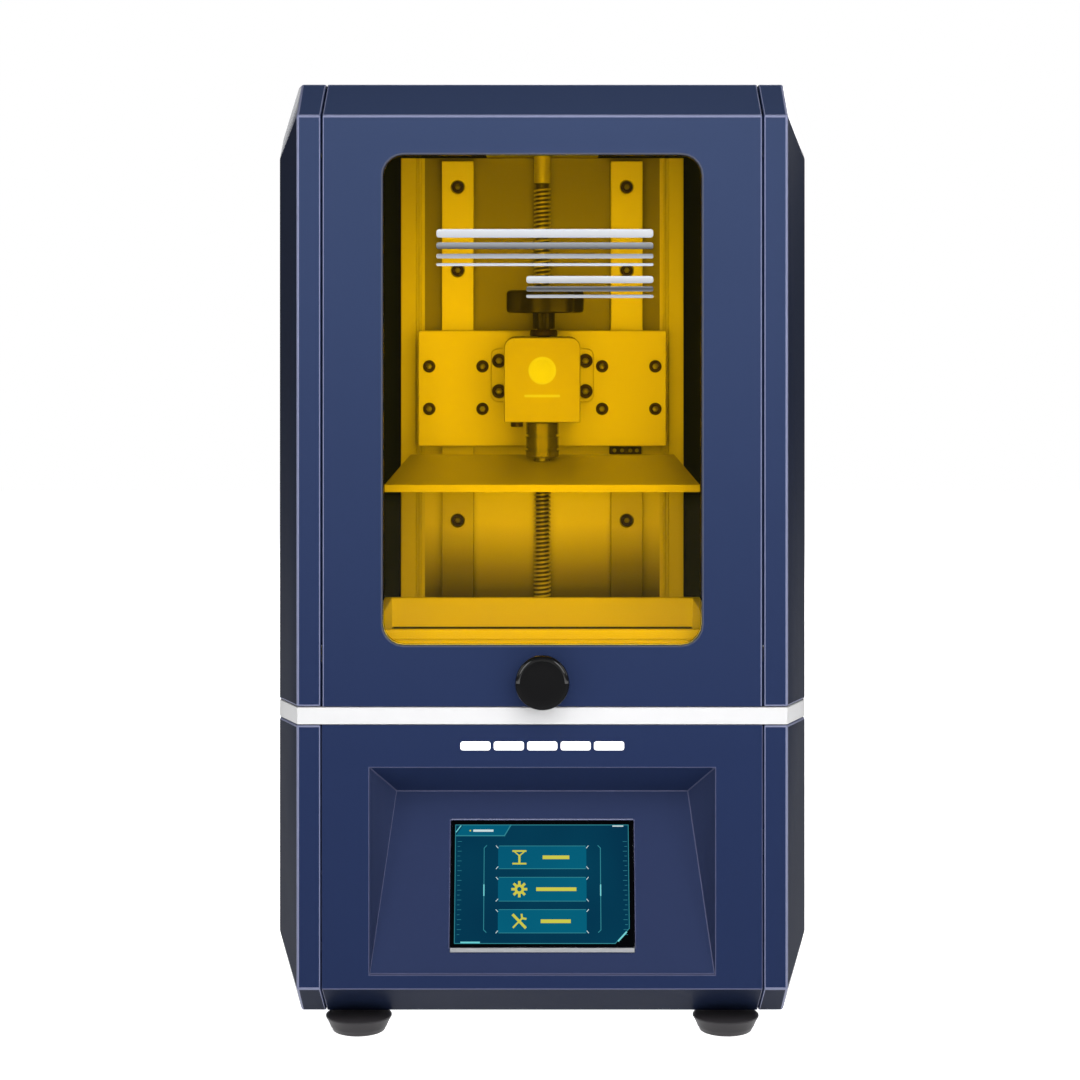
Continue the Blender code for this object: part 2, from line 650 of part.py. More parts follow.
def lift_drive():
    bearing = sided(BEARING_HALF, SCREW_Y - 10, COLUMN_Y + 10, COLUMN_TOP + GAP, BEARING_TOP)
    part("top_bearing_block", cut(bearing, rod(SCREW_RADIUS + 0.4, 0, FAR * 2, (0, SCREW_Y, 0))), "aluminium")
    bottom = MOTOR_TOP - MOTOR_LENGTH
    motor = box(-MOTOR_HALF, MOTOR_HALF, SCREW_Y - MOTOR_HALF + 0.6, SCREW_Y + MOTOR_HALF, bottom, MOTOR_TOP)
    motor = join(motor, rod(10.8, MOTOR_TOP - 1, MOTOR_TOP + 1.4, (0, SCREW_Y, 0)))
    part("z_motor", cut(motor, rod(3.2, bottom + 6, FAR, (0, SCREW_Y, 0), "Z", 16)), "black_plastic")
    base = MOTOR_TOP + GAP
    bracket = box(-25, 25, SCREW_Y - 21, SCREW_Y + 21, base, DECK_TOP - DECK_THICK - GAP)
    bracket = cut(bracket, box(-23, 23, -FAR, FAR, base + 2, FAR * 2))
    bracket = cut(bracket, rod(11.4, base - 5, FAR, (0, SCREW_Y, 0)))
    part("motor_bracket", bracket, "steel")

    at = (0, SCREW_Y, DECK_TOP)
    screw = turned(
        [(SCREW_RADIUS, SHAFT_TOP + 1.2), (SCREW_RADIUS, 363.5), (SCREW_RADIUS - 0.15, 363.6),
         (SCREW_RADIUS - 0.15, BEARING_TOP - 1)],
        (0, SCREW_Y, 0), "Z", 16,
    )
    part("lead_screw", screw, "steel", at, smooth=True)
    part("motor_shaft", rod(2.5, bottom + 8, SHAFT_TOP, (0, SCREW_Y, 0), "Z", 16), "steel", at, smooth=True)
    coupler = rod(9.5, COUPLER_LOW, COUPLER_HIGH, (0, SCREW_Y, 0))
    coupler = cut(coupler, rod(2.9, 0, SHAFT_TOP + 1, (0, SCREW_Y, 0), "Z", 16),
                  rod(SCREW_RADIUS + 0.35, SHAFT_TOP + 0.6, FAR, (0, SCREW_Y, 0), "Z", 16))
    part("shaft_coupler", coupler, "aluminium", at, smooth=True)


def carriage():
    plate = sided(CARRIAGE_HALF, CARRIAGE_Y, CARRIAGE_Y + CARRIAGE_THICK, CARRIAGE_BOTTOM, CARRIAGE_TOP)
    part("carriage_plate", plate, "aluminium")
    back = CARRIAGE_Y + CARRIAGE_THICK + GAP
    for side, name in ((-1, "left"), (1, "right")):
        x = side * RAIL_X
        block = box(x - GUIDE_HALF, x + GUIDE_HALF, back, COLUMN_Y - 4, GUIDE_BOTTOM, GUIDE_TOP)
        channel = box(x - RAIL_HALF - GAP, x + RAIL_HALF + GAP, COLUMN_Y - RAIL_HEIGHT - GAP, FAR, 0, FAR * 2)
        part(f"guide_block_{name}", cut(block, channel), "steel")
    nut = box(-15, 15, back, SCREW_Y + 7, 258, 280)
    part("lead_nut", cut(nut, rod(SCREW_RADIUS + GAP, 0, FAR * 2, (0, SCREW_Y, 0))), "brass")
    bracket = extruded(rounded_outline(24, 261.6, 286.4, 3.0, 4), CARRIAGE_Y - 3.3, CARRIAGE_Y - GAP)
    bar = sided(ARM_HALF, ARM_TIP_Y, CARRIAGE_Y - 1, ARM_Z - ARM_HALF, ARM_Z + ARM_HALF)
    part("arm_bracket", join(bracket, bar), "aluminium")


# ---------------------------------------------------------------- platform

def clamp():
    rear = CARRIAGE_Y - 3.3 - GAP
    radius = 4.5
    outline = [(BLOCK_HALF, BLOCK_BOTTOM)]
    for side, start in ((1, 0), (-1, 90)):
        for step in range(6):
            angle = math.radians(start + 18 * step)
            outline.append((
                side * (BLOCK_HALF - radius) + radius * math.cos(angle),
                BLOCK_TOP - radius + radius * math.sin(angle),
            ))
    outline.append((-BLOCK_HALF, BLOCK_BOTTOM))
    block = extruded(outline, BLOCK_FRONT, rear)
    sleeve = ARM_HALF + GAP
    block = cut(block, sided(sleeve, ARM_TIP_Y - 2, FAR, ARM_Z - sleeve, ARM_Z + sleeve),
                rod(3.3, ARM_Z, FAR * 2, (0, CLAMP_Y, 0), "Z", 16))
    part("clamp_block", block, "aluminium")
    washer = cut(rod(6.3, BLOCK_TOP + GAP, BLOCK_TOP + 3.3, (0, CLAMP_Y, 0)),
                 rod(3.3, 0, FAR * 2, (0, CLAMP_Y, 0), "Z", 16))
    part("clamp_washer", washer, "steel", smooth=True)

    lobes, steps, top = 7, 56, 313.4
    outline = []
    for step in range(steps):
        angle = math.tau * step / steps
        radius = 17.0 + 1.2 * math.cos(lobes * angle)
        outline.append((radius * math.cos(angle), CLAMP_Y + radius * math.sin(angle)))
    knob = extruded(outline, top - 10.3, top, "Z")
    stem = turned(
        [(3.0, ARM_Z + ARM_HALF + GAP + 0.2), (3.0, BLOCK_TOP + 3.7), (5.0, BLOCK_TOP + 3.7), (5.0, top - 5)],
        (0, CLAMP_Y, 0),
    )
    part("clamp_knob", join(knob, stem), "black_plastic", (0, CLAMP_Y, top), smooth=True)


def platform():
    low, high = 238.3, BLOCK_BOTTOM - GAP
    groove = 0.8
    profile = [(POST_RADIUS, low)]
    for z in (241.2, 247.4):
        profile += [(POST_RADIUS, z), (POST_RADIUS - groove, z + 0.1), (POST_RADIUS - groove, z + 1.1),
                    (POST_RADIUS, z + 1.2)]
    profile.append((POST_RADIUS, high))
    part("platform_post", turned(profile, (0, POST_Y, 0)), "aluminium", smooth=True)

    centre = Vector((0, POST_Y, BALL_Z))
    neck = rod(BALL_NECK, BALL_Z, low - GAP, (0, POST_Y, 0), "Z", 16)
    part("levelling_ball", join(sphere(BALL_RADIUS, centre), neck), "steel", centre, smooth=True)

    edge_top = PLATE_BOTTOM + PLATE_EDGE
    points = []
    for side in (-1, 1):
        for y in (PLATE_FRONT, PLATE_REAR):
            points.append((side * PLATE_HALF_X, y, PLATE_BOTTOM))
            points.append((side * PLATE_HALF_X, y, edge_top))
        for y in (PLATE_ROOF_FRONT, PLATE_REAR - 4):
            points.append((side * PLATE_ROOF_HALF, y, PLATE_ROOF))
    socket = sphere(BALL_RADIUS + 0.35, centre)
    mouth = rod(BALL_NECK + 1.0, BALL_Z, FAR * 2, (0, POST_Y, 0), "Z", 16)
    part("build_plate", cut(hull(points), socket, mouth), "aluminium", centre)


def sphere(radius, centre):
    bm = bmesh.new()
    place = Matrix.Translation(centre)
    bmesh.ops.create_uvsphere(bm, u_segments=16, v_segments=10, radius=radius, matrix=place)
    return bm


# ---------------------------------------------------------------- resin vat

def shank_holes():
    """The clearance holes for the two thumbscrews."""
    return [rod(SHANK_HOLE, 0, FAR, (side * THUMB_X, OPTIC_Y, 0), "Z", 12) for side in (-1, 1)]


def vat_outline(grow, low, high):
    """A block round the vat's inside, grown sideways."""
    return sided(VAT_HALF_X + grow, VAT_FRONT - grow, VAT_REAR + grow, low, high)


def vat():
    rear = VAT_REAR + VAT_RIM
    flange = sided(VAT_FLANGE_HALF, VAT_FLANGE_FRONT, rear, VAT_FLANGE_BOTTOM, VAT_FLANGE_TOP)
    walls = vat_outline(VAT_WALL, VAT_FLANGE_BOTTOM, VAT_TOP - 1)
    rim = vat_outline(VAT_RIM, VAT_RIM_BOTTOM, VAT_TOP)
    part("vat_frame", cut(join(flange, walls, rim), vat_outline(0, 0, FAR), *shank_holes()), "aluminium")

    edges = (VAT_FLANGE_HALF - FILM_MARGIN, VAT_FLANGE_FRONT + FILM_MARGIN / 2, rear - FILM_MARGIN / 2)
    film = sided(*edges, RING_BOTTOM + RING_THICK + GAP, VAT_FLANGE_BOTTOM - GAP)
    part("vat_film", cut(film, *shank_holes()), "clear_film")
    ring = sided(*edges, RING_BOTTOM, RING_BOTTOM + RING_THICK)
    part("film_ring", cut(ring, vat_outline(0, 0, FAR), *shank_holes()), "steel")

    base = VAT_FLANGE_TOP + GAP
    head = [(4.4, base), (4.8, base + 0.6), (4.8, base + 6.4), (4.4, base + 7)]
    for side, name in ((-1, "left"), (1, "right")):
        profile = [(SHANK_RADIUS, DECK_TOP - SHANK_LENGTH), (SHANK_RADIUS, base), *head]
        screw = turned(profile, (side * THUMB_X, OPTIC_Y, 0), "Z", 20)
        part(f"vat_thumbscrew_{name}", screw, "steel", (side * THUMB_X, OPTIC_Y, base), smooth=True)


# ---------------------------------------------------------------- fans, sockets and feet

def fan(name, centre, axis, half, depth, inward):
    """A square fan: its frame and its rotor, which turns on a stub inside the frame's rear cross."""
    turn = AXIS_TURN[axis] if inward > 0 else AXIS_TURN[axis] @ Matrix.Rotation(math.pi, 4, "X")
    place = Matrix.Translation(centre) @ turn
    frame = box(-half, half, -half, half, 0, depth)
    frame = cut(frame, rod(half - 1.5, 2, depth + 5, (0, 0, 0), "Z", 24))
    for sx, sy in ((-1, -1), (1, -1), (-1, 1), (1, 1)):
        corner = half * 0.36
        frame = cut(frame, box(sx * corner - half * 0.2, sx * corner + half * 0.2,
                               sy * corner - half * 0.2, sy * corner + half * 0.2, -5, depth))
    rotor = rod(half * 0.42, 2.6, depth - 0.6, (0, 0, 0), "Z", 20)
    blades = 7
    for blade in range(blades):
        angle = math.tau * blade / blades
        fin = box(half * 0.36, half - 2.6, -0.7, 0.7, 3.2, depth - 1.2)
        spin = Matrix.Rotation(angle, 4, "Z") @ Matrix.Rotation(math.radians(28), 4, "X")
        lift = Matrix.Translation((0, 0, depth / 2 + 1))
        bmesh.ops.transform(fin, matrix=lift @ spin @ lift.inverted(), verts=fin.verts)
        rotor = join(rotor, fin)
    for bm in (frame, rotor):
        bmesh.ops.transform(bm, matrix=place, verts=bm.verts)
    part(f"{name}_frame", frame, "black_plastic")
    part(f"{name}_rotor", rotor, "black_plastic", centre)


def rear_sockets():
    front, face = BACK_Y - SOCKET_DEPTH, BACK_Y - GAP
    wall = 1.7
    housing = box(
        SWITCH_X - SWITCH_HALF_X, SWITCH_X + SWITCH_HALF_X, front, face, SWITCH_Z - SWITCH_HALF_Z,
        SWITCH_Z + SWITCH_HALF_Z,
    )
    pocket_x, pocket_z = SWITCH_HALF_X - wall, SWITCH_HALF_Z - wall
    pocket = box(
        SWITCH_X - pocket_x, SWITCH_X + pocket_x, front + 4, FAR, SWITCH_Z - pocket_z, SWITCH_Z + pocket_z
    )
    part("switch_housing", cut(housing, pocket), "black_plastic")

    pivot_y = BACK_Y - 4.0
    half, heel = 6.6, pivot_y - 2.5
    outline = [
        (heel, SWITCH_Z - half + 2), (BACK_Y - 1.6, SWITCH_Z - half), (BACK_Y - 2.8, SWITCH_Z),
        (BACK_Y - 0.2, SWITCH_Z + half), (heel, SWITCH_Z + half - 2),
    ]
    rocker = extruded(outline, SWITCH_X - pocket_x + 0.4, SWITCH_X + pocket_x - 0.4, "X")
    part("power_rocker", rocker, "black_plastic", (SWITCH_X, pivot_y, SWITCH_Z))

    centre = (JACK_X, 0, JACK_Z)
    jack = rod(JACK_RADIUS, front, face, centre, "Y", 16)
    jack = cut(jack, rod(JACK_BORE, front + 3, FAR, centre, "Y", 12))
    jack = join(jack, rod(JACK_PIN, front + 2, BACK_Y - 2, centre, "Y", 8))
    part("dc_jack", jack, "black_plastic", smooth=True)

    low, deep = HALF_WIDTH - USB_LENGTH, HALF_WIDTH - GAP
    port = box(low, deep, USB_Y - USB_HALF_Y, USB_Y + USB_HALF_Y, USB_Z - USB_HALF_Z, USB_Z + USB_HALF_Z)
    wall, tongue_low = 0.8, USB_Z + 1.6
    inner_y, floor = USB_HALF_Y - wall, USB_Z - USB_HALF_Z + wall
    hollow = box(low + 2, FAR, USB_Y - inner_y, USB_Y + inner_y, floor, tongue_low)
    part("usb_port", cut(port, hollow), "steel")


def feet():
    for side, left_right in ((-1, "left"), (1, "right")):
        for y, end in ((FOOT_FRONT, "front"), (FOOT_REAR, "rear")):
            foot = turned(
                [(10.0, 0), (10.5, 0.5), (13.6, 5.4), (14.0, 6.0), (13.6, 6.5), (10.0, BODY_BOTTOM - GAP)],
                (side * FOOT_X, y, 0),
            )
            part(f"foot_{end}_{left_right}", foot, "rubber", smooth=True)


clear_scene()
side_panels()
lower_front()
rear_and_base()
hood()
deck()
lamp()
column()
lift_drive()
carriage()
clamp()
platform()
vat()
fan("exhaust_fan", (EXHAUST_X, BACK_Y - SHEET - GAP, EXHAUST_Z), "Y", EXHAUST_HALF, EXHAUST_DEPTH, -1)
rear_sockets()
feet()
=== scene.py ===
"""The visual model of the resin printer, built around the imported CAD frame.

Shapes here are in millimetres and become metres when a mesh is made, in the CAD model's own frame:
+X is the machine's right seen from the front, the front faces -Y, +Z is up and the table is at z = 0.
"""

import json
import math

import bmesh
import bpy
from mathutils import Matrix, Vector


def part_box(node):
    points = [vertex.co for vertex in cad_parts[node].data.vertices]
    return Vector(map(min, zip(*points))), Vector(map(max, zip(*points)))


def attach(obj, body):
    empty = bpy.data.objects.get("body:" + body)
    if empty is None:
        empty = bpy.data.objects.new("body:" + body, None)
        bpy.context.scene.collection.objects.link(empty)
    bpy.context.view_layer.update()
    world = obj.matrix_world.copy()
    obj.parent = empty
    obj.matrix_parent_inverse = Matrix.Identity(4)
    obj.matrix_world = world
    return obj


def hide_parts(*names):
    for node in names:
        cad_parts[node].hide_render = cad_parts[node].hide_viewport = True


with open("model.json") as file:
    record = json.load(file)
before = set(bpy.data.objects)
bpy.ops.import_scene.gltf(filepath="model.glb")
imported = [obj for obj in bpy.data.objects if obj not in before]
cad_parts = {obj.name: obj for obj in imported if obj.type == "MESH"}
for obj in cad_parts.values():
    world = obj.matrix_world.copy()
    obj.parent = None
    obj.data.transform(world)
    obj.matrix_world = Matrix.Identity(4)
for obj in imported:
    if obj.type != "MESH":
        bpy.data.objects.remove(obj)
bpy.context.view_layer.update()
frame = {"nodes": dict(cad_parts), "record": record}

MM = 0.001
nodes = frame["nodes"]


def corners(node):
    """A CAD node's lowest and highest corners in millimetres."""
    low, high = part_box(node)
    return Vector(low) / MM, Vector(high) / MM


# ---------------------------------------------------------------- node helpers

def feed(tree, socket, value):
    """Links a socket to another node's output, or sets its own value."""
    if isinstance(value, bpy.types.NodeSocket):
        tree.links.new(value, socket)
    else:
        socket.default_value = value


def math_node(tree, operation, *values):
    node = tree.nodes.new("ShaderNodeMath")
    node.operation = operation
    for socket, value in zip(node.inputs, values):
        feed(tree, socket, value)
    return node.outputs[0]


def map_range(tree, value, from_low, from_high, to_low, to_high):
    node = tree.nodes.new("ShaderNodeMapRange")
    feed(tree, node.inputs["Value"], value)
    node.inputs["From Min"].default_value = from_low
    node.inputs["From Max"].default_value = from_high
    node.inputs["To Min"].default_value = to_low
    node.inputs["To Max"].default_value = to_high
    return node.outputs["Result"]


def mix_colours(tree, factor, first, second, blend="MIX"):
    node = tree.nodes.new("ShaderNodeMix")
    node.data_type = "RGBA"
    node.blend_type = blend
    feed(tree, node.inputs["Factor"], factor)
    feed(tree, node.inputs["A"], first)
    feed(tree, node.inputs["B"], second)
    return node.outputs["Result"]


def object_place(tree):
    return tree.nodes.new("ShaderNodeTexCoord").outputs["Object"]


def object_axes(tree):
    """The X, Y and Z of the object's own coordinates, which follow the piece when it moves."""
    split = tree.nodes.new("ShaderNodeSeparateXYZ")
    tree.links.new(object_place(tree), split.inputs[0])
    return split.outputs


# ---------------------------------------------------------------- camera, lights and floor

FRONT_Y = corners("hood_shell")[0].y  # the case's front face
CAMERA_HEIGHT = 304.0
CAMERA_DISTANCE = 1000.0  # in front of the case's front face
LENS = 80.7
SENSOR = 36.0
SHIFT_X = -0.0021
SHIFT_Y = -0.212
WHITE = (1.0, 1.0, 1.0, 1.0)

# The soft lamps in metres: name, place, target, width and height, power, and whether reflections show them.
LAMPS = [
    ("front", (0.05, -0.60, 0.41), (0, 0, 0.36), (0.40, 0.36), 5.0, False),
    ("low_fill", (0, -1.6, 0.20), (0, 0, 0.10), (2.2, 0.5), 9.0, False),
    ("high_fill", (0, -0.9, 1.2), (0, -0.09, 0.08), (0.8, 0.5), 5.0, False),
    ("low_back", (0, 1.7, 0.62), (0, 0, 0.30), (1.4, 0.45), 2.2, True),
    ("left", (-0.80, -1.10, 0.75), (0, 0, 0.25), (0.25, 0.9), 4.0, True),
    ("right", (0.85, -1.00, 0.80), (0, 0, 0.25), (0.25, 0.9), 4.0, True),
    ("back", (0.4, 1.6, 1.0), (0, 0, 0.25), (1.2, 1.0), 16.0, True),
    ("side", (1.5, 0.3, 0.9), (0, 0, 0.25), (1.0, 1.0), 7.0, True),
    ("other_side", (-1.5, 0.3, 0.9), (0, 0, 0.25), (1.0, 1.0), 7.0, True),
]
SKY_LEVEL = 0.42  # the surroundings' strength at the horizon
SKY_OVERHEAD = 0.06
SKY_ASIDE = (0.35, 0.70)  # they dim between these two shares of sideways direction
SKY_ASIDE_SHARE = 0.30
FLOOR_SIZE = 6.0  # metres
FLOOR_LEVEL = -0.0004
FLOOR_TONE = 0.90
FLOOR_GLOW = 0.90


def add_camera():
    data = bpy.data.cameras.new("camera")
    data.lens = LENS
    data.sensor_width = SENSOR
    data.shift_x = SHIFT_X
    data.shift_y = SHIFT_Y
    data.clip_end = 50.0
    camera = bpy.data.objects.new("camera", data)
    camera.location = Vector((0, FRONT_Y - CAMERA_DISTANCE, CAMERA_HEIGHT)) * MM
    camera.rotation_euler = (math.radians(90), 0, 0)
    bpy.context.scene.collection.objects.link(camera)
    bpy.context.scene.camera = camera


def add_light(name, place, target, size, power, glossy):
    """A soft rectangular lamp in metres, aimed at a point."""
    data = bpy.data.lights.new(name, "AREA")
    data.shape = "RECTANGLE"
    data.size, data.size_y = size
    data.energy = power
    lamp = bpy.data.objects.new(name, data)
    lamp.location = place
    aim = Vector(target) - Vector(place)
    lamp.rotation_euler = aim.to_track_quat("-Z", "Y").to_euler()
    lamp.visible_camera = False
    lamp.visible_glossy = glossy
    bpy.context.scene.collection.objects.link(lamp)


def add_world():
    """A white backdrop. It lights the object softly, less from above and from the sides."""
    world = bpy.data.worlds.new("studio")
    bpy.context.scene.world = world
    world.use_nodes = True
    tree = world.node_tree
    split = tree.nodes.new("ShaderNodeSeparateXYZ")
    tree.links.new(tree.nodes.new("ShaderNodeTexCoord").outputs["Generated"], split.inputs[0])
    fade = map_range(tree, split.outputs["Z"], 0.0, 1.0, SKY_LEVEL, SKY_OVERHEAD)
    aside = math_node(tree, "ABSOLUTE", split.outputs["X"])
    dim = map_range(tree, aside, *SKY_ASIDE, 1.0, SKY_ASIDE_SHARE)
    lighting = tree.nodes["Background"]
    lighting.inputs["Color"].default_value = WHITE
    tree.links.new(math_node(tree, "MULTIPLY", fade, dim), lighting.inputs["Strength"])
    backdrop = tree.nodes.new("ShaderNodeBackground")
    backdrop.inputs["Color"].default_value = WHITE
    mix = tree.nodes.new("ShaderNodeMixShader")
    tree.links.new(tree.nodes.new("ShaderNodeLightPath").outputs["Is Camera Ray"], mix.inputs["Fac"])
    tree.links.new(lighting.outputs["Background"], mix.inputs[1])
    tree.links.new(backdrop.outputs["Background"], mix.inputs[2])
    tree.links.new(mix.outputs["Shader"], tree.nodes["World Output"].inputs["Surface"])


def add_studio():
    bpy.context.scene.view_settings.view_transform = "Standard"
    add_world()
    for lamp in LAMPS:
        add_light(*lamp)

    bpy.ops.mesh.primitive_plane_add(size=FLOOR_SIZE, location=(0, 0, FLOOR_LEVEL))
    floor = bpy.context.active_object
    floor.name = "floor"
    paint = bpy.data.materials.new("floor_paint")
    paint.use_nodes = True
    shader = paint.node_tree.nodes["Principled BSDF"]
    shader.inputs["Base Color"].default_value = (FLOOR_TONE, FLOOR_TONE, FLOOR_TONE, 1.0)
    shader.inputs["Roughness"].default_value = 0.8
    shader.inputs["Emission Color"].default_value = WHITE
    shader.inputs["Emission Strength"].default_value = FLOOR_GLOW
    floor.data.materials.append(paint)


# ---------------------------------------------------------------- materials

PATCH_SCALE = 18.0  # patches per metre in a finish's broad colour drift
GRAIN_DEPTH = 0.00005  # metres
FINE_SHARE = 0.45  # how far the fine grain and the broad patches move a finish's tone
BROAD_SHARE = 0.6


def surface(name, colour, roughness, metallic=0.0, grain=(400, 400, 400), bump=0.1, drift=0.06,
            rough_drift=0.08, coat=0.0, specular=0.5, ior=1.5):
    """A procedural finish: fine grain in bump and roughness, and broad soft patches in colour.

    grain is the fineness along X, Y and Z per metre, so unequal values give a brushed look.
    """
    made = bpy.data.materials.new(name)
    made.use_nodes = True
    tree = made.node_tree
    shader = tree.nodes["Principled BSDF"]
    shader.inputs["Metallic"].default_value = metallic
    shader.inputs["Coat Weight"].default_value = coat
    shader.inputs["Coat Roughness"].default_value = 0.08
    shader.inputs["Specular IOR Level"].default_value = specular
    shader.inputs["IOR"].default_value = ior
    place = object_place(tree)
    stretch = tree.nodes.new("ShaderNodeMapping")
    stretch.inputs["Scale"].default_value = grain
    tree.links.new(place, stretch.inputs["Vector"])
    fine = tree.nodes.new("ShaderNodeTexNoise")
    fine.inputs["Scale"].default_value = 1.0
    fine.inputs["Detail"].default_value = 4.0
    tree.links.new(stretch.outputs["Vector"], fine.inputs["Vector"])
    broad = tree.nodes.new("ShaderNodeTexNoise")
    broad.inputs["Scale"].default_value = PATCH_SCALE
    broad.inputs["Detail"].default_value = 3.0
    tree.links.new(place, broad.inputs["Vector"])

    patches = math_node(tree, "MULTIPLY", broad.outputs["Fac"], BROAD_SHARE)
    both = math_node(tree, "MULTIPLY_ADD", fine.outputs["Fac"], FINE_SHARE, patches)
    darker = (*[c * (1 - drift) for c in colour], 1.0)
    lighter = (*[min(1.0, c * (1 + drift)) for c in colour], 1.0)
    tree.links.new(mix_colours(tree, both, darker, lighter), shader.inputs["Base Color"])
    smooth, rough = max(0.02, roughness - rough_drift), min(1.0, roughness + rough_drift)
    tree.links.new(map_range(tree, both, 0.0, 1.0, smooth, rough), shader.inputs["Roughness"])

    relief = tree.nodes.new("ShaderNodeBump")
    relief.inputs["Strength"].default_value = bump
    relief.inputs["Distance"].default_value = GRAIN_DEPTH
    tree.links.new(fine.outputs["Fac"], relief.inputs["Height"])
    tree.links.new(relief.outputs["Normal"], shader.inputs["Normal"])
    return made


def tinted_pane(name, tint, gloss_roughness):
    """Clear coloured acrylic: it tints what shows through it and mirrors a little, more at a glance."""
    made = bpy.data.materials.new(name)
    made.use_nodes = True
    tree = made.node_tree
    tree.nodes.remove(tree.nodes["Principled BSDF"])
    output = tree.nodes["Material Output"]
    through = tree.nodes.new("ShaderNodeBsdfTransparent")
    through.inputs["Color"].default_value = (*tint, 1.0)
    mirror = tree.nodes.new("ShaderNodeBsdfGlossy")
    mirror.inputs["Color"].default_value = WHITE
    mirror.inputs["Roughness"].default_value = gloss_roughness
    ripple = tree.nodes.new("ShaderNodeTexNoise")
    ripple.inputs["Scale"].default_value = 30.0
    relief = tree.nodes.new("ShaderNodeBump")
    relief.inputs["Strength"].default_value = 0.04
    relief.inputs["Distance"].default_value = 0.0002
    tree.links.new(ripple.outputs["Fac"], relief.inputs["Height"])
    tree.links.new(relief.outputs["Normal"], mirror.inputs["Normal"])
    edge = tree.nodes.new("ShaderNodeFresnel")
    edge.inputs["IOR"].default_value = 1.16
    mix = tree.nodes.new("ShaderNodeMixShader")
    tree.links.new(edge.outputs["Fac"], mix.inputs["Fac"])
    tree.links.new(through.outputs["BSDF"], mix.inputs[1])
    tree.links.new(mirror.outputs["BSDF"], mix.inputs[2])
    tree.links.new(mix.outputs["Shader"], output.inputs["Surface"])
    return made


def glowing(name, low, high, strength, scale):
    """A lit display colour that drifts between two tones."""
    made = surface(name, (0.0, 0.0, 0.0), 0.25, bump=0.02, drift=0.0, specular=0.1, ior=1.3)
    tree = made.node_tree
    shader = tree.nodes["Principled BSDF"]
    cloud = tree.nodes.new("ShaderNodeTexNoise")
    cloud.inputs["Scale"].default_value = scale
    cloud.inputs["Detail"].default_value = 2.0
    tree.links.new(object_place(tree), cloud.inputs["Vector"])
    colour = mix_colours(tree, cloud.outputs["Fac"], (*low, 1.0), (*high, 1.0))
    tree.links.new(colour, shader.inputs["Emission Color"])
    shader.inputs["Emission Strength"].default_value = strength
    return made


def colour_so_far(made):
    """A finish's node tree, the shader socket of its colour, and what feeds that socket."""
    tree = made.node_tree
    socket = tree.nodes["Principled BSDF"].inputs["Base Color"]
    return tree, socket, socket.links[0].from_socket


def painted_groove_shade(made, middle, reach, colour):
    """Paints shade into a finish where the distance from the machine's middle plane is near a value."""
    tree, socket, before = colour_so_far(made)
    side = math_node(tree, "ABSOLUTE", object_axes(tree)["X"])
    inside = math_node(tree, "COMPARE", side, middle * MM, reach * MM)
    tree.links.new(mix_colours(tree, inside, before, (*colour, 1.0)), socket)


def dimmed_highlight_patch(made, half, bottom, top, colour):
    """Gives a finish another colour inside a band of heights near the machine's middle plane, to dim a
    painted highlight there.
    """
    tree, socket, before = colour_so_far(made)
    axes = object_axes(tree)
    across = math_node(tree, "COMPARE", axes["X"], 0.0, half * MM)
    upward = math_node(tree, "COMPARE", axes["Z"], (bottom + top) / 2 * MM, (top - bottom) / 2 * MM)
    inside = math_node(tree, "MULTIPLY", across, upward)
    tree.links.new(mix_colours(tree, inside, before, (*colour, 1.0)), socket)


def painted_light_by_height(made, tones, edge=None, edge_tone=(0.88, 0.88, 0.88, 1.0)):
    """Paints light and shade into a finish by height, from (height, tone) pairs in rising order.

    Beyond the distance edge from the machine's middle plane the tone is edge_tone at every height.
    """
    tree, socket, before = colour_so_far(made)
    axes = object_axes(tree)
    bottom, top = tones[0][0], tones[-1][0]
    ramp = tree.nodes.new("ShaderNodeValToRGB")
    stops = ramp.color_ramp.elements
    while len(stops) < len(tones):
        stops.new(0.5)
    for stop, (height, tone) in zip(stops, tones):
        stop.position = (height - bottom) / (top - bottom)
        stop.color = (*(tone if isinstance(tone, tuple) else (tone,) * 3), 1.0)
    tree.links.new(map_range(tree, axes["Z"], bottom * MM, top * MM, 0.0, 1.0), ramp.inputs["Fac"])
    shade = ramp.outputs["Color"]
    if edge is not None:
        beyond = math_node(tree, "GREATER_THAN", math_node(tree, "ABSOLUTE", axes["X"]), edge * MM)
        shade = mix_colours(tree, beyond, shade, edge_tone)
    tree.links.new(mix_colours(tree, 1.0, before, shade, "MULTIPLY"), socket)


def painted_core_shade(made, x, y, radius, blur, tone):
    """Paints shade into a finish near an upright axis, so that only what stands out from it is bright."""
    tree, socket, before = colour_so_far(made)
    flat = tree.nodes.new("ShaderNodeVectorMath")
    flat.operation = "MULTIPLY"
    flat.inputs[1].default_value = (1.0, 1.0, 0.0)
    tree.links.new(object_place(tree), flat.inputs[0])
    reach = tree.nodes.new("ShaderNodeVectorMath")
    reach.operation = "DISTANCE"
    reach.inputs[1].default_value = (x * MM, y * MM, 0.0)
    tree.links.new(flat.outputs[0], reach.inputs[0])
    level = map_range(tree, reach.outputs["Value"], radius * MM, (radius + blur) * MM, tone, 1.0)
    tree.links.new(mix_colours(tree, 1.0, before, level, "MULTIPLY"), socket)


PAINT = (0.0080, 0.0135, 0.0385)
# the case's paint at the top, as lit; painted light darkens it towards the bottom
PAINT_LIT_TOP = (0.0155, 0.0235, 0.0520)
BRUSH_X = (60, 2500, 2500)  # grain that runs along X
BRUSH_Z = (2500, 2500, 60)
FINE = (1800, 1800, 1800)
BOARD = (700, 700, 700)

